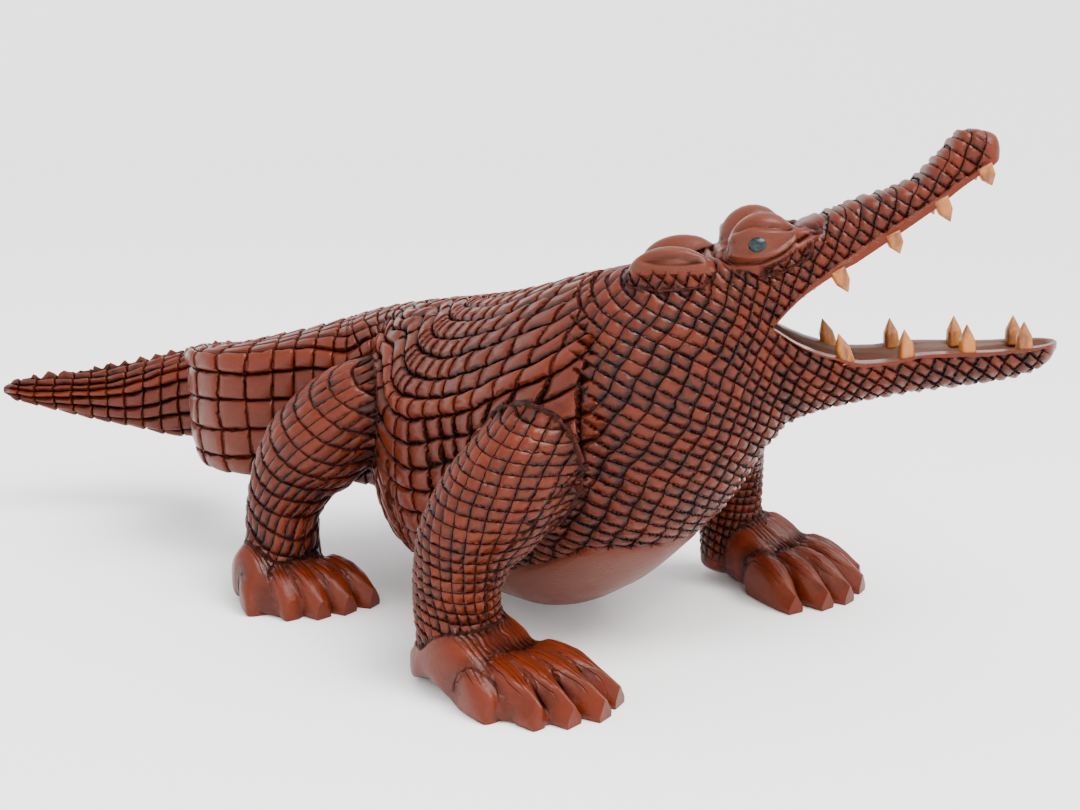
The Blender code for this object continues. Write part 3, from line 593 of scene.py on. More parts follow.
def split_ring():
    """The trunk's last section as the first section of each jaw."""
    back_at, back_up, belly_at, belly_up, half, ridge = TRUNK[-1][:6]
    corner_at = belly_at + (back_at - belly_at) * ridge
    corner_up = belly_up + (back_up - belly_up) * ridge
    return (back_at, back_up, corner_at, corner_up, half), (belly_at, belly_up, corner_at, corner_up, half)


def trunk_shell(step, above_marks, below_marks, across):
    """Tail, trunk, neck and jaws as one closed skin that forks at the mouth's corner, with its fields."""
    drawn, away, share = trunk_grid(step, above_marks, below_marks)
    rings, ring = drawn.shape[:2]
    points = [bend(drawn).reshape(-1, 3), bend(drawn[0].mean(axis=0))[None]]
    fields = [trunk_fields(drawn, away, share).reshape(-1, len(FIELDS)), np.zeros((1, len(FIELDS)))]
    faces = [tube_faces(rings, ring)]
    total = rings * ring
    caps = [fan(np.arange(ring), total)]
    total += 1

    last = (rings - 1) * ring + np.arange(ring)
    right, left = above_marks, ring - above_marks
    over = np.concatenate([last[right::-1], last[:left - 1:-1]])
    under = last[right:left + 1]
    upper_root, lower_root = split_ring()
    shares = np.linspace(1.0, -1.0, across + 2)[1:-1]
    points.append(bend(np.stack([
        np.full(across, upper_root[2]), shares * upper_root[4], np.full(across, upper_root[3]),
    ], axis=1)))
    mouth = packed(plain=np.full(across, MOUTH_TONE))
    fields.append(mouth)
    chord = total + np.arange(across)
    total += across
    jaws = (
        (upper_root, UPPER_JAW, over, TRUNK[-1][6], True),
        (lower_root, LOWER_JAW, under, TRUNK[-1][7], False),
    )
    for root, jaw, outside, power, upper in jaws:
        stations = even_stations((root,) + jaw, step * 1.1)[1:]
        outer_at, outer_up, lip_at, lip_up, half = columns((root,) + jaw, stations)
        outer = np.stack([outer_at, outer_up], axis=1)
        lip = np.stack([lip_at, lip_up], axis=1)
        side, run = quarters(outer, lip, half, np.full(len(half), power), len(outside) // 2)
        from_lip = run[:, -1:] - run
        outside_rings = np.concatenate([(side * MIRROR)[:, ::-1], side[:, 1:]], axis=1)
        lip_distance = np.concatenate([from_lip[:, ::-1], from_lip[:, 1:]], axis=1)
        hollow = VAULT * np.interp(stations, (0, 1.5, len(jaw) - 2, len(jaw)), (0, 1, 1, 0))
        sunk = hollow[:, None] * np.clip(1 - (shares[None] / 0.62) ** 4, 0.0, 1.0)
        spot = lip[:, None] + (outer - lip)[:, None] * sunk[..., None]
        inside = np.stack([spot[..., 0], shares[None] * half[:, None], spot[..., 1]], axis=2)
        grid = bend(np.concatenate([outside_rings, inside], axis=1))
        count, ring = grid.shape[:2]
        points.append(grid.reshape(-1, 3))
        floor = np.broadcast_to(mouth, inside.shape[:2] + (len(FIELDS),))
        fields.append(np.concatenate([
            jaw_fields(outside_rings, lip_distance, upper), floor,
        ], axis=1).reshape(-1, len(FIELDS)))
        first = np.concatenate([outside, chord])
        numbers = total + np.arange(ring)
        faces.append(np.stack([first, numbers, np.roll(numbers, -1), np.roll(first, -1)], axis=1))
        faces.append(total + tube_faces(count, ring))
        total += count * ring
        points.append(grid[-1].mean(axis=0)[None])
        fields.append(np.zeros((1, len(FIELDS))))
        caps.append(fan(total - ring + np.arange(ring), total))
        total += 1
    return np.concatenate(points), np.concatenate(faces), np.concatenate(caps), np.concatenate(fields)


def tube_shell(grid, fields=None):
    """A closed tube from a grid of rings, with a fan to the middle of each end."""
    rings, sides = grid.shape[:2]
    ends = np.stack([grid[0].mean(axis=0), grid[-1].mean(axis=0)])
    points = np.concatenate([grid.reshape(-1, 3), ends])
    caps = np.concatenate([
        fan(np.arange(sides), rings * sides), fan((rings - 1) * sides + np.arange(sides), rings * sides + 1),
    ])
    if fields is None:
        return points, tube_faces(rings, sides), caps
    fields = np.concatenate([fields.reshape(-1, len(FIELDS)), np.zeros((2, len(FIELDS)))])
    return points, tube_faces(rings, sides), caps, fields


def leg_shell(limb, rings, sides):
    """A leg as a closed tube, crosshatched down to the ankle."""
    knots, _, _, shift, girth, side, pattern = limb
    lean, rise, pitch, waver, count, twist = pattern
    grid, angle = leg_rings(knots, girth, rings, sides)
    x, _, z = np.moveaxis(grid, 2, 0)
    around = angle[None] / (2 * np.pi)
    first = (rise * z + lean * x + uneven(60 * around, z, waver)) / pitch
    second = count * around + twist * z + uneven(z, 60 * around, 0.08)
    hatch = smooth(z, *ANKLE)
    fields = packed(
        relief=hatched(first, second, FINE_HATCH_DEPTH) * hatch, soft=1.0, plain=0.3 * (1 - hatch),
        hatch_first=first, hatch_second=second, hatch=hatch,
    )
    return tube_shell((grid + (*shift, 0.0)) * (1.0, side, 1.0) * MM, fields)


def grooved(lines, top, depth, plain, soft):
    """The fields of fine parallel grooves along a foot."""
    return packed(
        relief=-depth * cut(lines, 0.5) * top, hatch_first=lines, hatch_second=0.5, hatch=0.7 * top,
        plain=plain, soft=soft,
    )


def foot_shells(limb, rings, sides):
    """A foot as six closed bars on the ground: the palm, finely grooved over its back, and five toes."""
    _, heel, tips, _, _, side, _ = limb
    flip = (1.0, side, 1.0)
    tips = np.array(tips)
    heel = np.array(heel)
    middle = tips[1:4].mean(axis=0)
    knuckles = heel + (middle - heel) * KNUCKLES
    palm, on, off = bar_rings(heel, knuckles, PALM_WIDTHS, PALM_HEIGHTS, PALM_SQUARENESS, rings, sides)
    pitch, depth = PALM_GROOVES
    lines = (off * 27.0 / np.interp(on, (0, 80), (20.0, 27.0)) + uneven(on, off, 0.25)) / pitch
    rim = np.abs(off) / np.abs(off).max(axis=1, keepdims=True)
    top = smooth(palm[..., 2], 5.0, 10.0) * (1 - smooth(rim, 0.60, 0.85))
    soft = 1.0 - 0.65 * smooth(on, 40.0, 60.0)
    shells = [tube_shell(palm * flip * MM, grooved(lines, top, depth, 0.35, soft))]
    pitch, depth = TOE_GROOVES
    for tip in tips:
        root = knuckles + (tip - middle) * TOE_SPREAD - (middle - heel) * TOE_START
        toe, on, off = bar_rings(root, tip, TOE_WIDTHS, TOE_HEIGHTS, TOE_SQUARENESS, rings // 2, sides // 2)
        lift = toe[..., 2] / np.maximum(toe[..., 2].max(axis=1, keepdims=True), 1.0)
        pinch = 1 - TOE_PINCH * smooth(lift, 0.15, 1.0) * smooth(on, 26.0, 42.0)
        axis = toe.mean(axis=1, keepdims=True)
        toe[..., :2] = axis[..., :2] + (toe[..., :2] - axis[..., :2]) * pinch[..., None]
        lines = (off + uneven(on, off, 0.2)) / pitch
        claw = on.max() - 14.0
        top = smooth(toe[..., 2], 4.0, 9.0) * (1 - smooth(on, claw, claw + 6.0))
        shells.append(tube_shell(toe * flip * MM, grooved(lines, top, depth, 0.5, 0.3)))
    return shells


def mound_grid(shape, side, rings, sides):
    """An egg on the head: centre + turned (length cos v, width sin v cos u, height sin v sin u)."""
    at, aside, up, length, width, height, rise = shape
    v = np.linspace(0.02, np.pi - 0.02, rings)[:, None]
    u = np.linspace(0.0, 2 * np.pi, sides, endpoint=False)[None]
    local = np.stack([
        length * np.cos(v) + 0 * u, width * np.sin(v) * np.cos(u), height * np.sin(v) * np.sin(u),
    ], axis=2)
    slope = np.radians(rise)
    along = local[..., 0] * np.cos(slope) - local[..., 2] * np.sin(slope)
    upward = local[..., 0] * np.sin(slope) + local[..., 2] * np.cos(slope)
    turn = np.interp(at, SPINE[0], SPINE[3])
    x = along * np.cos(turn) - local[..., 1] * np.sin(turn)
    y = along * np.sin(turn) + local[..., 1] * np.cos(turn)
    centre = bend((at, side * aside, up)) / MM
    return centre + np.stack([x, y, upward], axis=2), at + along, up + upward, local[..., 1] * side


def ear_shell(side, rings, sides):
    """The ear: a smooth mound with a leaf-shaped hollow on its outer side, under its rim."""
    grid, along, up, out = mound_grid(EAR, side, rings, sides)
    at, height, long, tall, slope, depth, rim = EAR_HOLLOW
    leaf = np.hypot((along - at) / long, (up - height - slope * (along - at)) / tall)
    relief = rim * np.exp(-((leaf - 1.3) / 0.2) ** 2) - depth * smooth(1.15 - leaf, 0.0, 0.6)
    hatch = 1 - smooth(up + uneven(along, up, 1.0), *EAR_HATCH_END)
    first, second = side_lines(along, up)
    return tube_shell(grid * MM, packed(
        relief=relief * smooth(out, 2.0, 6.0) + hatched(first, second, FINE_HATCH_DEPTH) * hatch,
        soft=1.0, plain=0.9 - 0.9 * hatch, hatch_first=first, hatch_second=second, hatch=hatch,
    ))


def brow_shell(side, rings, sides):
    """The brow: a smooth mound with the eyelids cut round the eye."""
    grid, along, up, out = mound_grid(BROW, side, rings, sides)
    cuts, _ = lids(along, up)
    return tube_shell(grid * MM, packed(relief=cuts * smooth(out, 1.0, 5.0), soft=1.0, plain=0.9))


def cheek_shell(side, rings, sides):
    """The cheek under the eye, crosshatched like the neck."""
    grid, along, up, _ = mound_grid(CHEEK, side, rings, sides)
    first, second = side_lines(along, up)
    cuts, near = lids(along, up)
    relief = hatched(first, second, HATCH_DEPTH) * (1 - near) + cuts * near
    return tube_shell(grid * MM, packed(
        relief=relief, soft=1.0, plain=0.5 * near,
        hatch_first=first, hatch_second=second, hatch=1 - near,
    ))


def new_mesh(name, points, quads, triangles=None):
    """A mesh from whole arrays of points, four-sided faces and three-sided faces, turned outwards."""
    faces = quads.tolist() + (triangles.tolist() if triangles is not None else [])
    mesh = bpy.data.meshes.new(name)
    mesh.from_pydata(points.tolist(), [], faces)
    shape = bmesh.new()
    shape.from_mesh(mesh)
    bmesh.ops.recalc_face_normals(shape, faces=shape.faces)
    shape.to_mesh(mesh)
    shape.free()
    return mesh


def write_field(mesh, name, values):
    """One number a point, kept on the mesh for the wood's material."""
    field = mesh.attributes.get(name) or mesh.attributes.new(name, "FLOAT", "POINT")
    field.data.foreach_set("value", np.ascontiguousarray(values, np.float32))


def array_of(items, name, width, kind=np.float32):
    """One value of every item of a mesh, as an array with width numbers a row."""
    flat = np.empty(len(items) * width, kind)
    items.foreach_get(name, flat)
    return flat.reshape(-1, width)


def read_field(mesh, name):
    """The numbers that write_field kept."""
    return array_of(mesh.attributes[name].data, "value", 1)[:, 0].astype(float)


def form_object(name, number, shell):
    """A form of the body as an object, its carving's fields and its number kept on its points."""
    points, quads, triangles, fields = shell
    mesh = new_mesh(name, points + PLACE, quads, triangles)
    for column, field in zip(fields.T, FIELDS):
        write_field(mesh, field, column)
    write_field(mesh, "form", np.full(len(points), float(number)))
    return bpy.data.objects.new(name, mesh)


def points_of(mesh):
    """The mesh's points as an array."""
    return array_of(mesh.vertices, "co", 3).astype(float)


def normals_of(mesh):
    """The normals at the mesh's points as an array."""
    return array_of(mesh.vertex_normals, "vector", 3).astype(float)


def edges_of(mesh):
    """The mesh's edges as pairs of point numbers."""
    return array_of(mesh.edges, "vertices", 2, np.int32)


def move_points(mesh, spots):
    """Puts the mesh's points at these spots."""
    mesh.vertices.foreach_set("co", spots.astype(np.float32).ravel())
    mesh.update()


def averaged(values, edges, times, share=1.0):
    """Values moved towards the mean of their neighbours' again and again, each a whole-array step."""
    count = len(values)
    ends = np.concatenate([edges[:, 0], edges[:, 1]])
    others = np.concatenate([edges[:, 1], edges[:, 0]])
    degree = np.maximum(np.bincount(ends, minlength=count), 1)[:, None]
    for _ in range(times):
        sums = [np.bincount(ends, weights=column[others], minlength=count) for column in values.T]
        values = values + 0.5 * share * (np.stack(sums, axis=1) / degree - values)
    return values


def applied(thing):
    """The object's mesh with its modifiers worked in, in place of its own."""
    graph = bpy.context.evaluated_depsgraph_get()
    done = bpy.data.meshes.new_from_object(thing.evaluated_get(graph), depsgraph=graph)
    old = thing.data
    thing.modifiers.clear()
    thing.data = done
    bpy.data.meshes.remove(old)
    return done


def join_forms(body, forms):
    """The body joined with every other form."""
    helpers = bpy.data.collections.new("forms")
    bpy.context.scene.collection.children.link(helpers)
    for thing in forms:
        helpers.objects.link(thing)
    union = body.modifiers.new("forms", "BOOLEAN")
    union.operation = "UNION"
    union.operand_type = "COLLECTION"
    union.collection = helpers
    union.solver = "MANIFOLD"
    applied(body)
    for thing in forms:
        data = thing.data
        bpy.data.objects.remove(thing)
        bpy.data.meshes.remove(data)
    bpy.data.collections.remove(helpers)


def cut_soles(body, depth):
    """Cuts off what reaches below the ground."""
    block = bmesh.new()
    bmesh.ops.create_cube(block, size=depth, matrix=Matrix.Translation((0.0, 0.0, -depth / 2)))
    mesh = bpy.data.meshes.new("ground")
    block.to_mesh(mesh)
    block.free()
    ground = bpy.data.objects.new("ground", mesh)
    bpy.context.scene.collection.objects.link(ground)
    level = body.modifiers.new("soles", "BOOLEAN")
    level.operation = "DIFFERENCE"
    level.object = ground
    level.solver = "MANIFOLD"
    applied(body)
    bpy.data.objects.remove(ground)
    bpy.data.meshes.remove(mesh)


def lend_fields(mesh, edges, seam):
    """Gives the points at a seam the fields of the nearest points away from it, ring by ring."""
    known = ~seam
    donor = np.arange(len(seam))
    both = np.concatenate([edges, edges[:, ::-1]])
    for _ in range(SEAM_RINGS):
        pairs = both[~known[both[:, 0]] & known[both[:, 1]]]
        donor[pairs[:, 0]] = donor[pairs[:, 1]]
        known[pairs[:, 0]] = True
    for name in FIELDS:
        write_field(mesh, name, np.where(known, read_field(mesh, name)[donor], 0.0))


def soften_seams(mesh, spread):
    """Rounds the creases between forms, then raises and cuts the carving along the softened normals."""
    edges = edges_of(mesh)
    spots = points_of(mesh)
    form = read_field(mesh, "form")
    seam = np.zeros(len(spots), bool)
    seam[edges[np.abs(form[edges[:, 0]] - form[edges[:, 1]]) > 0.01].ravel()] = True
    lend_fields(mesh, edges, seam)
    seam = seam.astype(float)
    gentle = averaged(read_field(mesh, "soft")[:, None], edges, 3)[:, 0]
    near = np.clip(averaged((seam * gentle ** 2)[:, None], edges, spread) * CREASE_HOLD, 0.0, 1.0)
    used = edges[(near[:, 0][edges] > 0.01).any(axis=1)]
    numbers, short = np.unique(used, return_inverse=True)
    times = CREASE_ROUNDS * spread
    spots[numbers] = averaged(spots[numbers], short.reshape(-1, 2), times, near[numbers])
    move_points(mesh, spots)
    relief = read_field(mesh, "relief")[:, None]
    band = np.clip(averaged(seam[:, None], edges, 1), 0.0, 1.0)
    relief = relief + (averaged(relief, edges, 4) - relief) * band
    move_points(mesh, spots + normals_of(mesh) * relief * MM)


def carve(step, faces_kept):
    """The whole carved body as one mesh, with the carving's fields and how hollow each point lies."""
    shells = [trunk_shell(step, int(BACK_ARC / step), int(BELLY_ARC / step), int(MOUTH_ARC / step))]
    rings = int(LEG_ARC / step)
    for limb in LIMBS:
        shells.append(leg_shell(limb, rings, rings))
        shells += foot_shells(limb, rings, rings)
    for side in (-1, 1):
        shells.append(ear_shell(side, rings // 2, rings))
        shells.append(brow_shell(side, rings // 2, rings))
        shells.append(cheek_shell(side, rings // 2, rings))
    forms = [form_object(f"form_{number}", number, shell) for number, shell in enumerate(shells)]
    body = forms[0]
    body.name = "body_carving"
    bpy.context.scene.collection.objects.link(body)
    join_forms(body, forms[1:])
    soften_seams(body.data, int(CREASE_REACH / step))
    cut_soles(body, 2.0)
    fewer = body.modifiers.new("fewer_faces", "DECIMATE")
    body.data.calc_loop_triangles()
    fewer.ratio = min(1.0, faces_kept / len(body.data.loop_triangles))
    mesh = applied(body)
    mesh.name = "body_carving"
    spots = np.clip(points_of(mesh), CAD_BOX[0], CAD_BOX[1])
    move_points(mesh, spots)
    # How far each point stands in or out of the surface round it; the wood's material paints shade into the
    # hollows and light onto the edges from this
    hollow = spots - averaged(spots, edges_of(mesh), HOLLOW_ROUNDS)
    depth = np.sum(hollow * normals_of(mesh), axis=1) / MM
    write_field(mesh, "cut_depth", np.clip(depth, -3.0, 3.0))
    for name in ("relief", "soft", "form"):
        mesh.attributes.remove(mesh.attributes[name])
    mesh.shade_smooth()
    mesh.set_sharp_from_angle(angle=np.radians(SHARP_ANGLE))
    return body


def tooth_places():
    """Name, gum point, rise, height and seat of every tooth."""
    upper_root, lower_root = split_ring()
    places = []
    for row, jaw, root, teeth in (
        ("upper", UPPER_JAW, upper_root, UPPER_TEETH), ("lower", LOWER_JAW, lower_root, LOWER_TEETH),
    ):
        spots, heights, inset, seat = teeth
        sections = (root,) + jaw
        stations = np.linspace(0.0, len(jaw), 401)
        lips = columns(sections, stations)[2]
        outer_at, outer_up, lip_at, lip_up, half = columns(sections, np.interp(spots, lips, stations))
        for pair, height in enumerate(heights):
            for side, hand in ((-1, "right"), (1, "left")):
                aside = side * (half[pair] - inset)
                name = f"{row}_tooth_{hand}_{pair + 1}"
                gum = bend((lip_at[pair], aside, lip_up[pair]))
                outer = bend((outer_at[pair], aside, outer_up[pair]))
                places.append((name, gum, gum - outer, height * MM, SEAT_FILLED * seat * MM))
    return places


def tooth_mesh(name, gum, rise, height, seat):
    """A tooth: rounded-square rings up its rise, drawn in to its neck and then nearly straight to its tip.

    Above the neck the half width is neck (way left to the tip)^0.95.
    """
    course = rise / np.linalg.norm(rise)
    one_way = np.cross(course, (0.0, 0.0, 1.0))
    one_way /= np.linalg.norm(one_way)
    other_way = np.cross(course, one_way)
    neck = height * NECK_SHARE
    above = height * (NECK_SHARE + (1 - NECK_SHARE) * np.linspace(0, 1, 15)[1:])
    lift = np.concatenate([np.linspace(-seat, neck, 9), above])
    reach = np.interp(lift, (-seat, neck), (TOOTH_FOOT, TOOTH_NECK))
    left = np.clip((height - lift) / ((1 - NECK_SHARE) * height), 0.0, 1.0)
    reach = (np.where(lift > neck, TOOTH_NECK * left ** 0.95, reach) + TOOTH_TIP) * MM
    across, upward = power_ring(np.linspace(0.0, 2 * np.pi, 32, endpoint=False), 2.8)
    grid = gum + lift[:, None, None] * course + reach[:, None, None] * (
        across[None, :, None] * one_way + upward[None, :, None] * other_way
    )
    points, quads, caps = tube_shell(grid)
    mesh = new_mesh(name, points + PLACE, quads, caps)
    mesh.shade_smooth()
    return mesh


def eye_frame(side):
    """The eye's centre and its three half axes: length, outwards and height."""
    at, up = EYE
    heading = np.interp(at, SPINE[0], SPINE[3])
    turn = Matrix.Rotation(heading, 3, "Z") @ Matrix.Rotation(side * np.radians(EYE_TURN), 3, "X")
    turn = turn @ Matrix.Rotation(-np.radians(BROW[6]), 3, "Y")
    lift = (up - BROW[2]) / BROW[5]
    shift = (at - BROW[0]) / BROW[3]
    reach = BROW[1] + BROW[4] * np.sqrt(1.0 - lift ** 2 - shift ** 2)
    axes = np.array(turn)
    facing = axes[:, 1] * side
    centre = bend((at, side * reach, up)) - facing * (EYE_HALVES[1] - EYE_SHOWS) * MM
    length, out, height = EYE_HALVES
    return centre, axes[:, 0] * length * MM, facing * out * MM, axes[:, 2] * height * MM


def eye_mesh(name, side):
    """An eye: an egg, centre + length cos v + sin v (height cos u + outwards sin u)."""
    centre, length, facing, height = eye_frame(side)
    v = np.linspace(0.02, np.pi - 0.02, 33)[:, None, None]
    u = np.linspace(0.0, 2 * np.pi, 48, endpoint=False)[None, :, None]
    grid = centre + np.cos(v) * length + np.sin(v) * (np.cos(u) * height + np.sin(u) * facing)
    points, quads, caps = tube_shell(grid)
    mesh = new_mesh(name, points + PLACE, quads, caps)
    mesh.shade_smooth()
    return mesh


def found_place():
    """How far the figure drawn here lies from the frame: the eyes' boxes against their own centres."""
    gaps = []
    for side, hand in ((-1, "right"), (1, "left")):
        low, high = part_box(f"{hand}_eye")
        gaps.append((np.array(low) + np.array(high)) / 2 - eye_frame(side)[0])
    return np.mean(gaps, axis=0)


PLACE = found_place()

# Colours that the settings don't hold: the painted shade at the bottom of the cuts and in the hollows, and
# the eyes' glint
CUT_SHADE_COLOUR = (0.006, 0.0022, 0.0018)
SHELL_GLINT = (0.006, 0.024, 0.024)
# The floor in metres: half its width, how far off it is flat and how high it rises; its points a side
FLOOR = 10.0
FLOOR_FLAT = 3.0
FLOOR_RISE = 2.5
FLOOR_POINTS = 81
# Lights: name, place, size, share of the key light's power, colour; and the spot they face, in metres
LAMPS = (
    ("key_light", (0.75, -0.15, 1.15), 0.7, 1.0, (1.0, 0.98, 0.95)),
    ("fill_light", (-0.9, -0.9, 0.8), 1.2, 0.35, (0.95, 0.97, 1.0)),
    ("front_light", (1.1, -1.0, 0.35), 0.8, 0.3, (1.0, 1.0, 1.0)),
)
LIT_SPOT = (0.05, 0.0, 0.1)
# The broad light's direction, angle in degrees and colour, and the strength of the light from all round
BROAD_WAY = (-0.47, -0.22, -0.85)
BROAD_ANGLE = 32.0
BROAD_COLOUR = (1.0, 0.985, 0.96)
AIR_STRENGTH = 1.7
# The photo's camera: place in metres, how far it looks down and how far it is turned, in degrees
CAMERA_PLACE = (0.5173, -0.5381, 0.30)
CAMERA_FALL = 14.036
CAMERA_TURN = 45.0


def node(tree, kind, values=(), links=()):
    """A new shader node, with some inputs set and some linked."""
    made = tree.nodes.new(kind)
    for socket, value in values:
        made.inputs[socket].default_value = value
    for socket, source in links:
        tree.links.new(source, made.inputs[socket])
    return made


def ramp(tree, source, stops):
    """A colour ramp through (place, colour) stops."""
    made = tree.nodes.new("ShaderNodeValToRGB")
    tree.links.new(source, made.inputs["Fac"])
    elements = made.color_ramp.elements
    elements[0].position, elements[0].color = stops[0][0], (*stops[0][1], 1.0)
    elements[1].position, elements[1].color = stops[-1][0], (*stops[-1][1], 1.0)
    for place, colour in stops[1:-1]:
        elements.new(place).color = (*colour, 1.0)
    return made.outputs["Color"]


def mixed(tree, share, first, second):
    """Two colours mixed; each is a socket or a fixed colour."""
    made = tree.nodes.new("ShaderNodeMix")
    made.data_type = "RGBA"
    for socket, value in ((made.inputs[0], share), (made.inputs[6], first), (made.inputs[7], second)):
        if isinstance(value, bpy.types.NodeSocket):
            tree.links.new(value, socket)
        else:
            socket.default_value = value if isinstance(value, float) else (*value, 1.0)
    return made.outputs[2]


def remapped(tree, source, low, high, to_low, to_high):
    """A value moved from one range to another, kept inside it."""
    made = node(tree, "ShaderNodeMapRange", (
        ("From Min", low), ("From Max", high), ("To Min", to_low), ("To Max", to_high),
    ), (("Value", source),))
    return made.outputs["Result"]


def noise(tree, vector, scale, detail, rough=0.5):
    """Fractal noise at this scale over these coordinates."""
    made = node(tree, "ShaderNodeTexNoise", (("Scale", scale), ("Detail", detail), ("Roughness", rough)),
                (("Vector", vector),))
    return made.outputs["Fac"]


def new_material(name):
    """An empty Principled material: its tree, its shader and its object coordinates."""
    material = bpy.data.materials.new(name)
    material.use_nodes = True
    tree = material.node_tree
    shader = tree.nodes["Principled BSDF"]
    place = tree.nodes.new("ShaderNodeTexCoord").outputs["Object"]
    return material, tree, shader, place


def maths(tree, kind, first, second=0.0, clamp=False):
    """One maths node; each value is a socket or a number."""
    made = tree.nodes.new("ShaderNodeMath")
    made.operation = kind
    made.use_clamp = clamp
    for socket, value in zip(made.inputs, (first, second)):
        if isinstance(value, bpy.types.NodeSocket):
            tree.links.new(value, socket)
        else:
            socket.default_value = value
    return made.outputs["Value"]


def field_of(tree, name):
    """One of the carving's fields."""
    made = tree.nodes.new("ShaderNodeAttribute")
    made.attribute_name = name
    return made.outputs["Fac"]


def knife_line(tree, phase, wobble, width):
    """1 along every whole number of the phase, falling to 0 at width from it."""
    near = maths(tree, "PINGPONG", maths(tree, "ADD", phase, wobble), 0.5)
    return remapped(tree, near, 0.0, width, 1.0, 0.0)


def carved_hardwood(dark, wood, pale_wood_and_edge_light, mouth):
    """Waxed reddish hardwood: stretched grain, with painted shade near black in the cuts and hollows and
    painted light in orange brown on the edges.
    """
    material, tree, shader, place = new_material("carved_hardwood_painted_shade_and_light")
    along = node(tree, "ShaderNodeMapping", (("Scale", (9.0, 9.0, 60.0)), ("Rotation", (0.0, 0.12, 0.25))),
                 (("Vector", place),)).outputs["Vector"]
    grain = noise(tree, along, 6.0, 6.0, 0.65)
    fibre = noise(tree, along, 34.0, 3.0, 0.6)
    cloud = noise(tree, place, 13.0, 3.0)
    shake = remapped(tree, noise(tree, place, 170.0, 2.0), 0.2, 0.8, -0.05, 0.05)
    depth = field_of(tree, "cut_depth")
    plain = field_of(tree, "plain")
    hatch = field_of(tree, "hatch")
    rows = field_of(tree, "rows")
    falling = knife_line(tree, field_of(tree, "hatch_first"), shake, 0.065)
    steep = knife_line(tree, field_of(tree, "hatch_second"), shake, 0.05)
    crossed = maths(tree, "MULTIPLY", maths(tree, "MAXIMUM", falling, steep), hatch)
    between_rows = knife_line(tree, field_of(tree, "row"), shake, 0.055)
    across_rows = knife_line(tree, field_of(tree, "tick"), shake, 0.05)
    ruled = maths(tree, "MULTIPLY", maths(tree, "MAXIMUM", between_rows, across_rows), rows)
    knife = maths(tree, "ADD", crossed, ruled, clamp=True)

    base = ramp(tree, grain, ((0.30, dark), (0.52, wood), (0.78, pale_wood_and_edge_light)))
    base = mixed(tree, remapped(tree, cloud, 0.42, 0.72, 0.0, 0.6), base, pale_wood_and_edge_light)
    shade = noise(tree, place, 17.0, 5.0, 0.65)
    base = mixed(tree, remapped(tree, shade, 0.38, 0.56, 0.8, 0.0), base, dark)
    specks = noise(tree, place, 620.0, 3.0)
    base = mixed(tree, remapped(tree, specks, 0.55, 0.75, 0.0, 0.45), base, pale_wood_and_edge_light)
    base = mixed(tree, remapped(tree, specks, 0.25, 0.45, 0.5, 0.0), base, dark)
    cell = node(tree, "ShaderNodeCombineXYZ", (), (
        ("X", maths(tree, "FLOOR", field_of(tree, "hatch_first"))),
        ("Y", maths(tree, "FLOOR", field_of(tree, "hatch_second"))),
        ("Z", maths(tree, "MULTIPLY", maths(tree, "FLOOR", field_of(tree, "tick")), rows)),
    ))
    chance = tree.nodes.new("ShaderNodeTexWhiteNoise")
    tree.links.new(cell.outputs["Vector"], chance.inputs["Vector"])
    patterned = maths(tree, "MULTIPLY", hatch, 0.75)
    tone = chance.outputs["Value"]
    for low, high, at_low, at_high, colour in ((0.6, 1.0, 0.0, 0.8, pale_wood_and_edge_light), (0.0, 0.4, 0.8, 0.0, dark)):
        share = maths(tree, "MULTIPLY", remapped(tree, tone, low, high, at_low, at_high), patterned)
        base = mixed(tree, share, base, colour)
    bead = maths(tree, "ABSOLUTE", maths(tree, "SUBTRACT", field_of(tree, "row"), 0.5))
    bead = maths(tree, "MULTIPLY", remapped(tree, bead, 0.42, 0.52, 0.6, 0.0), rows)
    base = mixed(tree, bead, base, pale_wood_and_edge_light)
    base = mixed(tree, remapped(tree, plain, 0.1, 0.5, 0.0, 0.4), base, pale_wood_and_edge_light)
    # Painted light: points that stand out from the surface round them (positive cut_depth) are lightened
    # towards the pale colour
    base = mixed(tree, remapped(tree, depth, 0.10, 0.90, 0.0, 0.6), base, pale_wood_and_edge_light)
    # Painted shade: the hollows (negative cut_depth) and the knife lines of the cuts are darkened towards
    # the cut shade colour
    hollow = remapped(tree, depth, -0.9, -0.12, 0.85, 0.0)
    cut_shade = maths(tree, "MAXIMUM", hollow, maths(tree, "MULTIPLY", knife, 0.7))
    base = mixed(tree, cut_shade, base, CUT_SHADE_COLOUR)
    base = mixed(tree, remapped(tree, plain, 0.6, 1.9, 0.0, 1.0), base, mouth)
    tree.links.new(base, shader.inputs["Base Color"])
    wear = remapped(tree, noise(tree, place, 55.0, 4.0), 0.3, 0.7, 0.27, 0.45)
    rough = maths(tree, "ADD", wear, maths(tree, "MULTIPLY", cut_shade, 0.5))
    tree.links.new(rough, shader.inputs["Roughness"])
    tree.links.new(remapped(tree, cut_shade, 0.0, 0.8, 0.20, 0.0), shader.inputs["Specular IOR Level"])
    saw = maths(tree, "SUBTRACT", maths(tree, "FRACT", field_of(tree, "hatch_first")),
                maths(tree, "MULTIPLY", maths(tree, "FRACT", field_of(tree, "hatch_second")), 0.7))
    saw = maths(tree, "MULTIPLY", saw, hatch)
    step = maths(tree, "MULTIPLY", maths(tree, "FRACT", field_of(tree, "tick")), rows)
    height = maths(tree, "SUBTRACT", maths(tree, "ADD", saw, step), knife)
    cuts = node(tree, "ShaderNodeBump", (("Strength", 0.9), ("Distance", 0.0013)), (("Height", height),))
    pits = node(tree, "ShaderNodeBump", (("Strength", 0.35), ("Distance", 0.0004)),
                (("Height", specks), ("Normal", cuts.outputs["Normal"])))
    bump = node(tree, "ShaderNodeBump", (("Strength", 0.3), ("Distance", 0.0005)),
                (("Height", fibre), ("Normal", pits.outputs["Normal"])))
    tree.links.new(bump.outputs["Normal"], shader.inputs["Normal"])
    return material


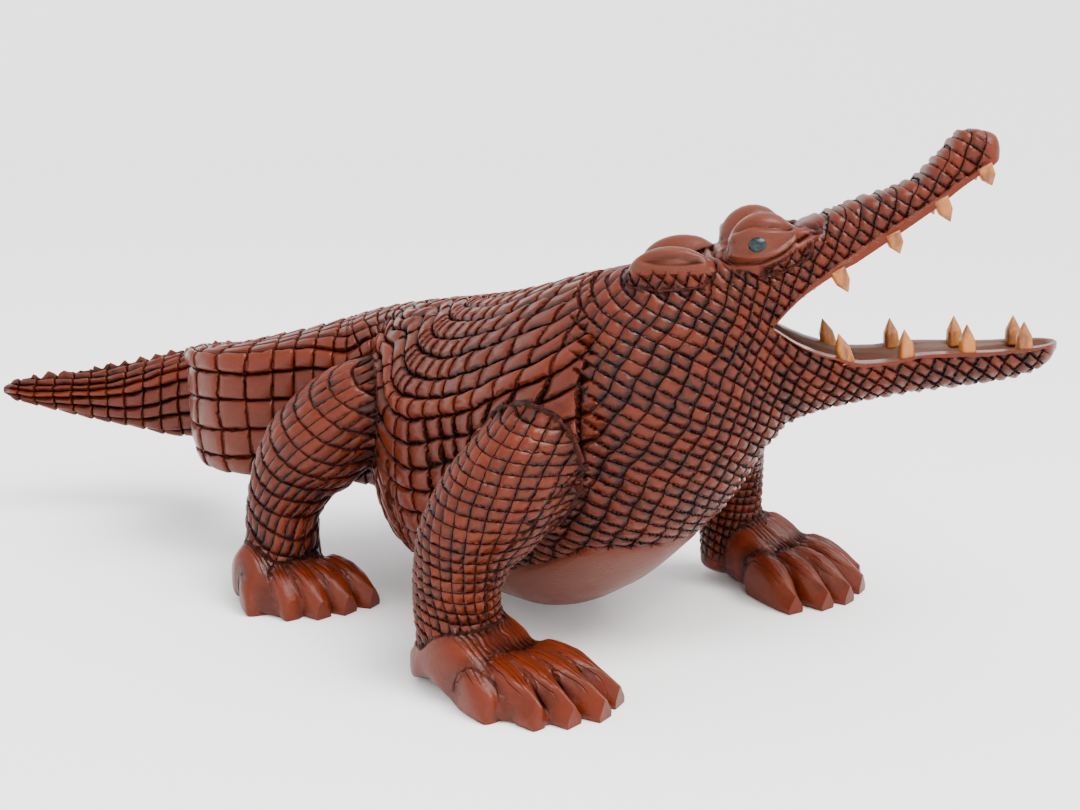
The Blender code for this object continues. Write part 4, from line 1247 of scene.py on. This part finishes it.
def bone(root, crown):
    """Orange-stained bone: brown streaks up the tooth and a soft sheen."""
    material, tree, shader, place = new_material("bone")
    streaks = noise(tree, node(tree, "ShaderNodeMapping", (("Scale", (260.0, 260.0, 60.0)),),
                               (("Vector", place),)).outputs["Vector"], 1.0, 5.0, 0.6)
    patches = noise(tree, place, 120.0, 3.0)
    base = ramp(tree, streaks, ((0.34, root), (0.55, crown)))
    base = mixed(tree, remapped(tree, patches, 0.45, 0.7, 0.0, 0.5), base, root)
    tree.links.new(base, shader.inputs["Base Color"])
    tree.links.new(remapped(tree, patches, 0.3, 0.7, 0.28, 0.5), shader.inputs["Roughness"])
    bump = node(tree, "ShaderNodeBump", (("Strength", 0.3), ("Distance", 0.0004)), (("Height", streaks),))
    tree.links.new(bump.outputs["Normal"], shader.inputs["Normal"])
    return material


def shell_inlay(deep, bright):
    """Blue-green shell: layered bands that shine from green to blue, under a clear polish."""
    material, tree, shader, place = new_material("shell_inlay")
    layers = noise(tree, place, 420.0, 4.0, 0.6)
    base = ramp(tree, layers, ((0.38, deep), (0.50, bright), (0.64, SHELL_GLINT)))
    tree.links.new(base, shader.inputs["Base Color"])
    tree.links.new(remapped(tree, layers, 0.3, 0.7, 0.15, 0.35), shader.inputs["Roughness"])
    bump = node(tree, "ShaderNodeBump", (("Strength", 0.15), ("Distance", 0.0002)), (("Height", layers),))
    tree.links.new(bump.outputs["Normal"], shader.inputs["Normal"])
    shader.inputs["Specular IOR Level"].default_value = 0.3
    return material


def matt_floor(colour):
    """Pale studio paper with a faint tooth."""
    material, tree, shader, place = new_material("studio_paper")
    fine = noise(tree, place, 300.0, 3.0)
    bump = node(tree, "ShaderNodeBump", (("Strength", 0.05), ("Distance", 0.0003)), (("Height", fine),))
    tree.links.new(bump.outputs["Normal"], shader.inputs["Normal"])
    shader.inputs["Base Color"].default_value = (*colour, 1.0)
    tree.links.new(remapped(tree, fine, 0.3, 0.7, 0.75, 0.9), shader.inputs["Roughness"])
    return material


def link(name, mesh, material):
    """A finished piece with its material, riding on the figure."""
    mesh.materials.clear()
    mesh.materials.append(material)
    thing = bpy.data.objects.new(name, mesh)
    bpy.context.scene.collection.objects.link(thing)
    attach(thing, "root")
    return thing


def colour_setting(name, description, default):
    """A colour that a user may change."""
    return bpy.props.FloatVectorProperty(
        name=name, description=description, default=default, subtype="COLOR", size=3, min=0.0, max=1.0,
    )


class CarvingSettings(bpy.types.PropertyGroup):
    """Sizes and colours of the carved body."""

    grid_step: bpy.props.FloatProperty(
        name="Grid step", default=0.8, min=0.4, max=4.0,
        description="Distance in mm between the carving's grid points before it is thinned",
    )
    kept_faces: bpy.props.IntProperty(
        name="Faces kept", default=190000, min=5000, max=198000,
        description="Triangles of the carved body once it is thinned",
    )
    dark: colour_setting("Dark grain", "Colour of the wood's dark grain", (0.007, 0.0011, 0.0009))
    wood: colour_setting("Wood", "Colour of the wood", (0.027, 0.0030, 0.0013))
    # The pale colour is the wood's pale grain and also the painted light on the edges that stand out
    pale_wood_and_edge_light: colour_setting("Pale grain and lit edges", "Colour of the painted light on the edges and pale grain", (0.108, 0.0142, 0.0027))
    mouth: colour_setting("Mouth", "Colour of the bare wood inside the mouth", (0.085, 0.038, 0.026))


class InlaySettings(bpy.types.PropertyGroup):
    """Colours of the teeth and the eyes."""

    root: colour_setting("Tooth root", "Colour of a tooth's streaks and root", (0.10, 0.022, 0.0022))
    crown: colour_setting("Tooth crown", "Colour of a tooth's crown", (0.34, 0.105, 0.0085))
    deep: colour_setting("Deep shell", "Darker colour of the eyes' shell", (0.0006, 0.0025, 0.0032))
    bright: colour_setting("Bright shell", "Brighter colour of the eyes' shell", (0.0012, 0.010, 0.011))


class StageSettings(bpy.types.PropertyGroup):
    """The studio's colours and light."""

    floor: colour_setting("Floor", "Colour of the floor", (0.94, 0.94, 0.94))
    key_power: bpy.props.FloatProperty(
        name="Key light", description="Power of the key light", default=14.0, min=0.0,
        subtype="POWER", unit="POWER",
    )
    broad_strength: bpy.props.FloatProperty(
        name="Broad light", description="Strength of the broad light from above", default=3.8, min=0.0,
    )


class CROCODILE_OT_body(bpy.types.Operator):
    """Carve the body and lay it over the solid one"""

    bl_idname = "crocodile.body"
    bl_label = "Carve the body"

    def execute(self, context):
        settings = context.scene.crocodile_carving
        step = settings.grid_step * 1.0
        body = carve(step, settings.kept_faces // (1))
        body.data.materials.clear()
        body.data.materials.append(carved_hardwood(
            settings.dark, settings.wood, settings.pale_wood_and_edge_light, settings.mouth,
        ))
        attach(body, "root")
        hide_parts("body")
        return {"FINISHED"}


class CROCODILE_OT_teeth(bpy.types.Operator):
    """Set the sixteen bone teeth"""

    bl_idname = "crocodile.teeth"
    bl_label = "Set the teeth"

    def execute(self, context):
        settings = context.scene.crocodile_inlay
        material = bone(settings.root, settings.crown)
        for name, gum, rise, height, seat in tooth_places():
            tooth = link("carved_" + name, tooth_mesh("carved_" + name, gum, rise, height, seat), material)
            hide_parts(name)
        return {"FINISHED"}


class CROCODILE_OT_eyes(bpy.types.Operator):
    """Inlay the two shell eyes"""

    bl_idname = "crocodile.eyes"
    bl_label = "Inlay the eyes"

    def execute(self, context):
        settings = context.scene.crocodile_inlay
        material = shell_inlay(settings.deep, settings.bright)
        for side, hand in ((-1, "right"), (1, "left")):
            eye = link(f"inlaid_{hand}_eye", eye_mesh(f"inlaid_{hand}_eye", side), material)
            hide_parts(f"{hand}_eye")
        return {"FINISHED"}


def swept_floor():
    """The floor as a square grid, flat round the figure and rising far off, so that no horizon shows."""
    count = FLOOR_POINTS
    x, y = np.meshgrid(np.linspace(-FLOOR, FLOOR, count), np.linspace(-FLOOR, FLOOR, count))
    height = FLOOR_RISE * smooth(np.hypot(x, y), FLOOR_FLAT, FLOOR)
    points = np.stack([x, y, height], axis=2).reshape(-1, 3)
    corners = (np.arange(count - 1)[:, None] * count + np.arange(count - 1)).reshape(-1, 1)
    mesh = bpy.data.meshes.new("studio_floor")
    mesh.from_pydata(points.tolist(), [], (corners + np.array((0, 1, count + 1, count))).tolist())
    mesh.shade_smooth()
    return mesh


def add_light(name, kind, power, colour, facing):
    """A light that shines along the direction facing; gives its object and its data."""
    data = bpy.data.lights.new(name, kind)
    data.energy = power
    data.color = colour
    lamp = bpy.data.objects.new(name, data)
    lamp.rotation_euler = facing.to_track_quat("-Z", "Y").to_euler()
    bpy.context.scene.collection.objects.link(lamp)
    return lamp, data


class CROCODILE_OT_stage(bpy.types.Operator):
    """Add the floor, the lights, the background and the camera"""

    bl_idname = "crocodile.stage"
    bl_label = "Set the stage"

    def execute(self, context):
        settings = context.scene.crocodile_stage
        mesh = swept_floor()
        mesh.materials.append(matt_floor(settings.floor))
        floor = bpy.data.objects.new("studio_floor", mesh)
        floor.location.z = -0.0002
        context.scene.collection.objects.link(floor)
        for name, place, size, share, colour in LAMPS:
            facing = Vector(LIT_SPOT) - Vector(place)
            lamp, data = add_light(name, "AREA", settings.key_power * share, colour, facing)
            lamp.location = place
            data.size = size
        _, data = add_light("broad_light", "SUN", settings.broad_strength, BROAD_COLOUR, Vector(BROAD_WAY))
        data.angle = np.radians(BROAD_ANGLE)
        world = bpy.data.worlds.new("studio_air")
        world.use_nodes = True
        air = world.node_tree.nodes["Background"]
        air.inputs["Color"].default_value = (1.0, 1.0, 1.0, 1.0)
        air.inputs["Strength"].default_value = AIR_STRENGTH
        context.scene.world = world
        lens = bpy.data.cameras.new("photo_camera")
        lens.lens = 50.0
        lens.sensor_width = 36.0
        camera = bpy.data.objects.new("photo_camera", lens)
        camera.location = Vector(CAMERA_PLACE) + Vector(PLACE)
        camera.rotation_euler = (np.radians(90.0 - CAMERA_FALL), 0.0, np.radians(CAMERA_TURN))
        context.scene.collection.objects.link(camera)
        context.scene.camera = camera
        return {"FINISHED"}


class CROCODILE_PT_panel(bpy.types.Panel):
    """Builds the crocodile piece by piece"""

    bl_idname = "CROCODILE_PT_panel"
    bl_label = "Carved crocodile"
    bl_space_type = "VIEW_3D"
    bl_region_type = "UI"
    bl_category = "Crocodile"

    def draw(self, context):
        scene = context.scene
        for group in (scene.crocodile_carving, scene.crocodile_inlay, scene.crocodile_stage):
            box = self.layout.box()
            for name in group.bl_rna.properties.keys():
                if name not in ("rna_type", "name"):
                    box.prop(group, name)
        for operator in OPERATORS:
            self.layout.operator(operator.bl_idname)


SETTINGS = (
    ("crocodile_carving", CarvingSettings),
    ("crocodile_inlay", InlaySettings),
    ("crocodile_stage", StageSettings),
)
OPERATORS = (CROCODILE_OT_body, CROCODILE_OT_teeth, CROCODILE_OT_eyes, CROCODILE_OT_stage)


def register():
    for name, group in SETTINGS:
        bpy.utils.register_class(group)
        setattr(bpy.types.Scene, name, bpy.props.PointerProperty(type=group))
    for kind in OPERATORS + (CROCODILE_PT_panel,):
        bpy.utils.register_class(kind)


def unregister():
    for kind in reversed(OPERATORS + (CROCODILE_PT_panel,)):
        bpy.utils.unregister_class(kind)
    for name, group in reversed(SETTINGS):
        delattr(bpy.types.Scene, name)
        bpy.utils.unregister_class(group)


def main():
    register()
    bpy.ops.crocodile.body()
    bpy.ops.crocodile.teeth()
    bpy.ops.crocodile.eyes()
    bpy.ops.crocodile.stage()


if __name__ == "__main__":
    main()
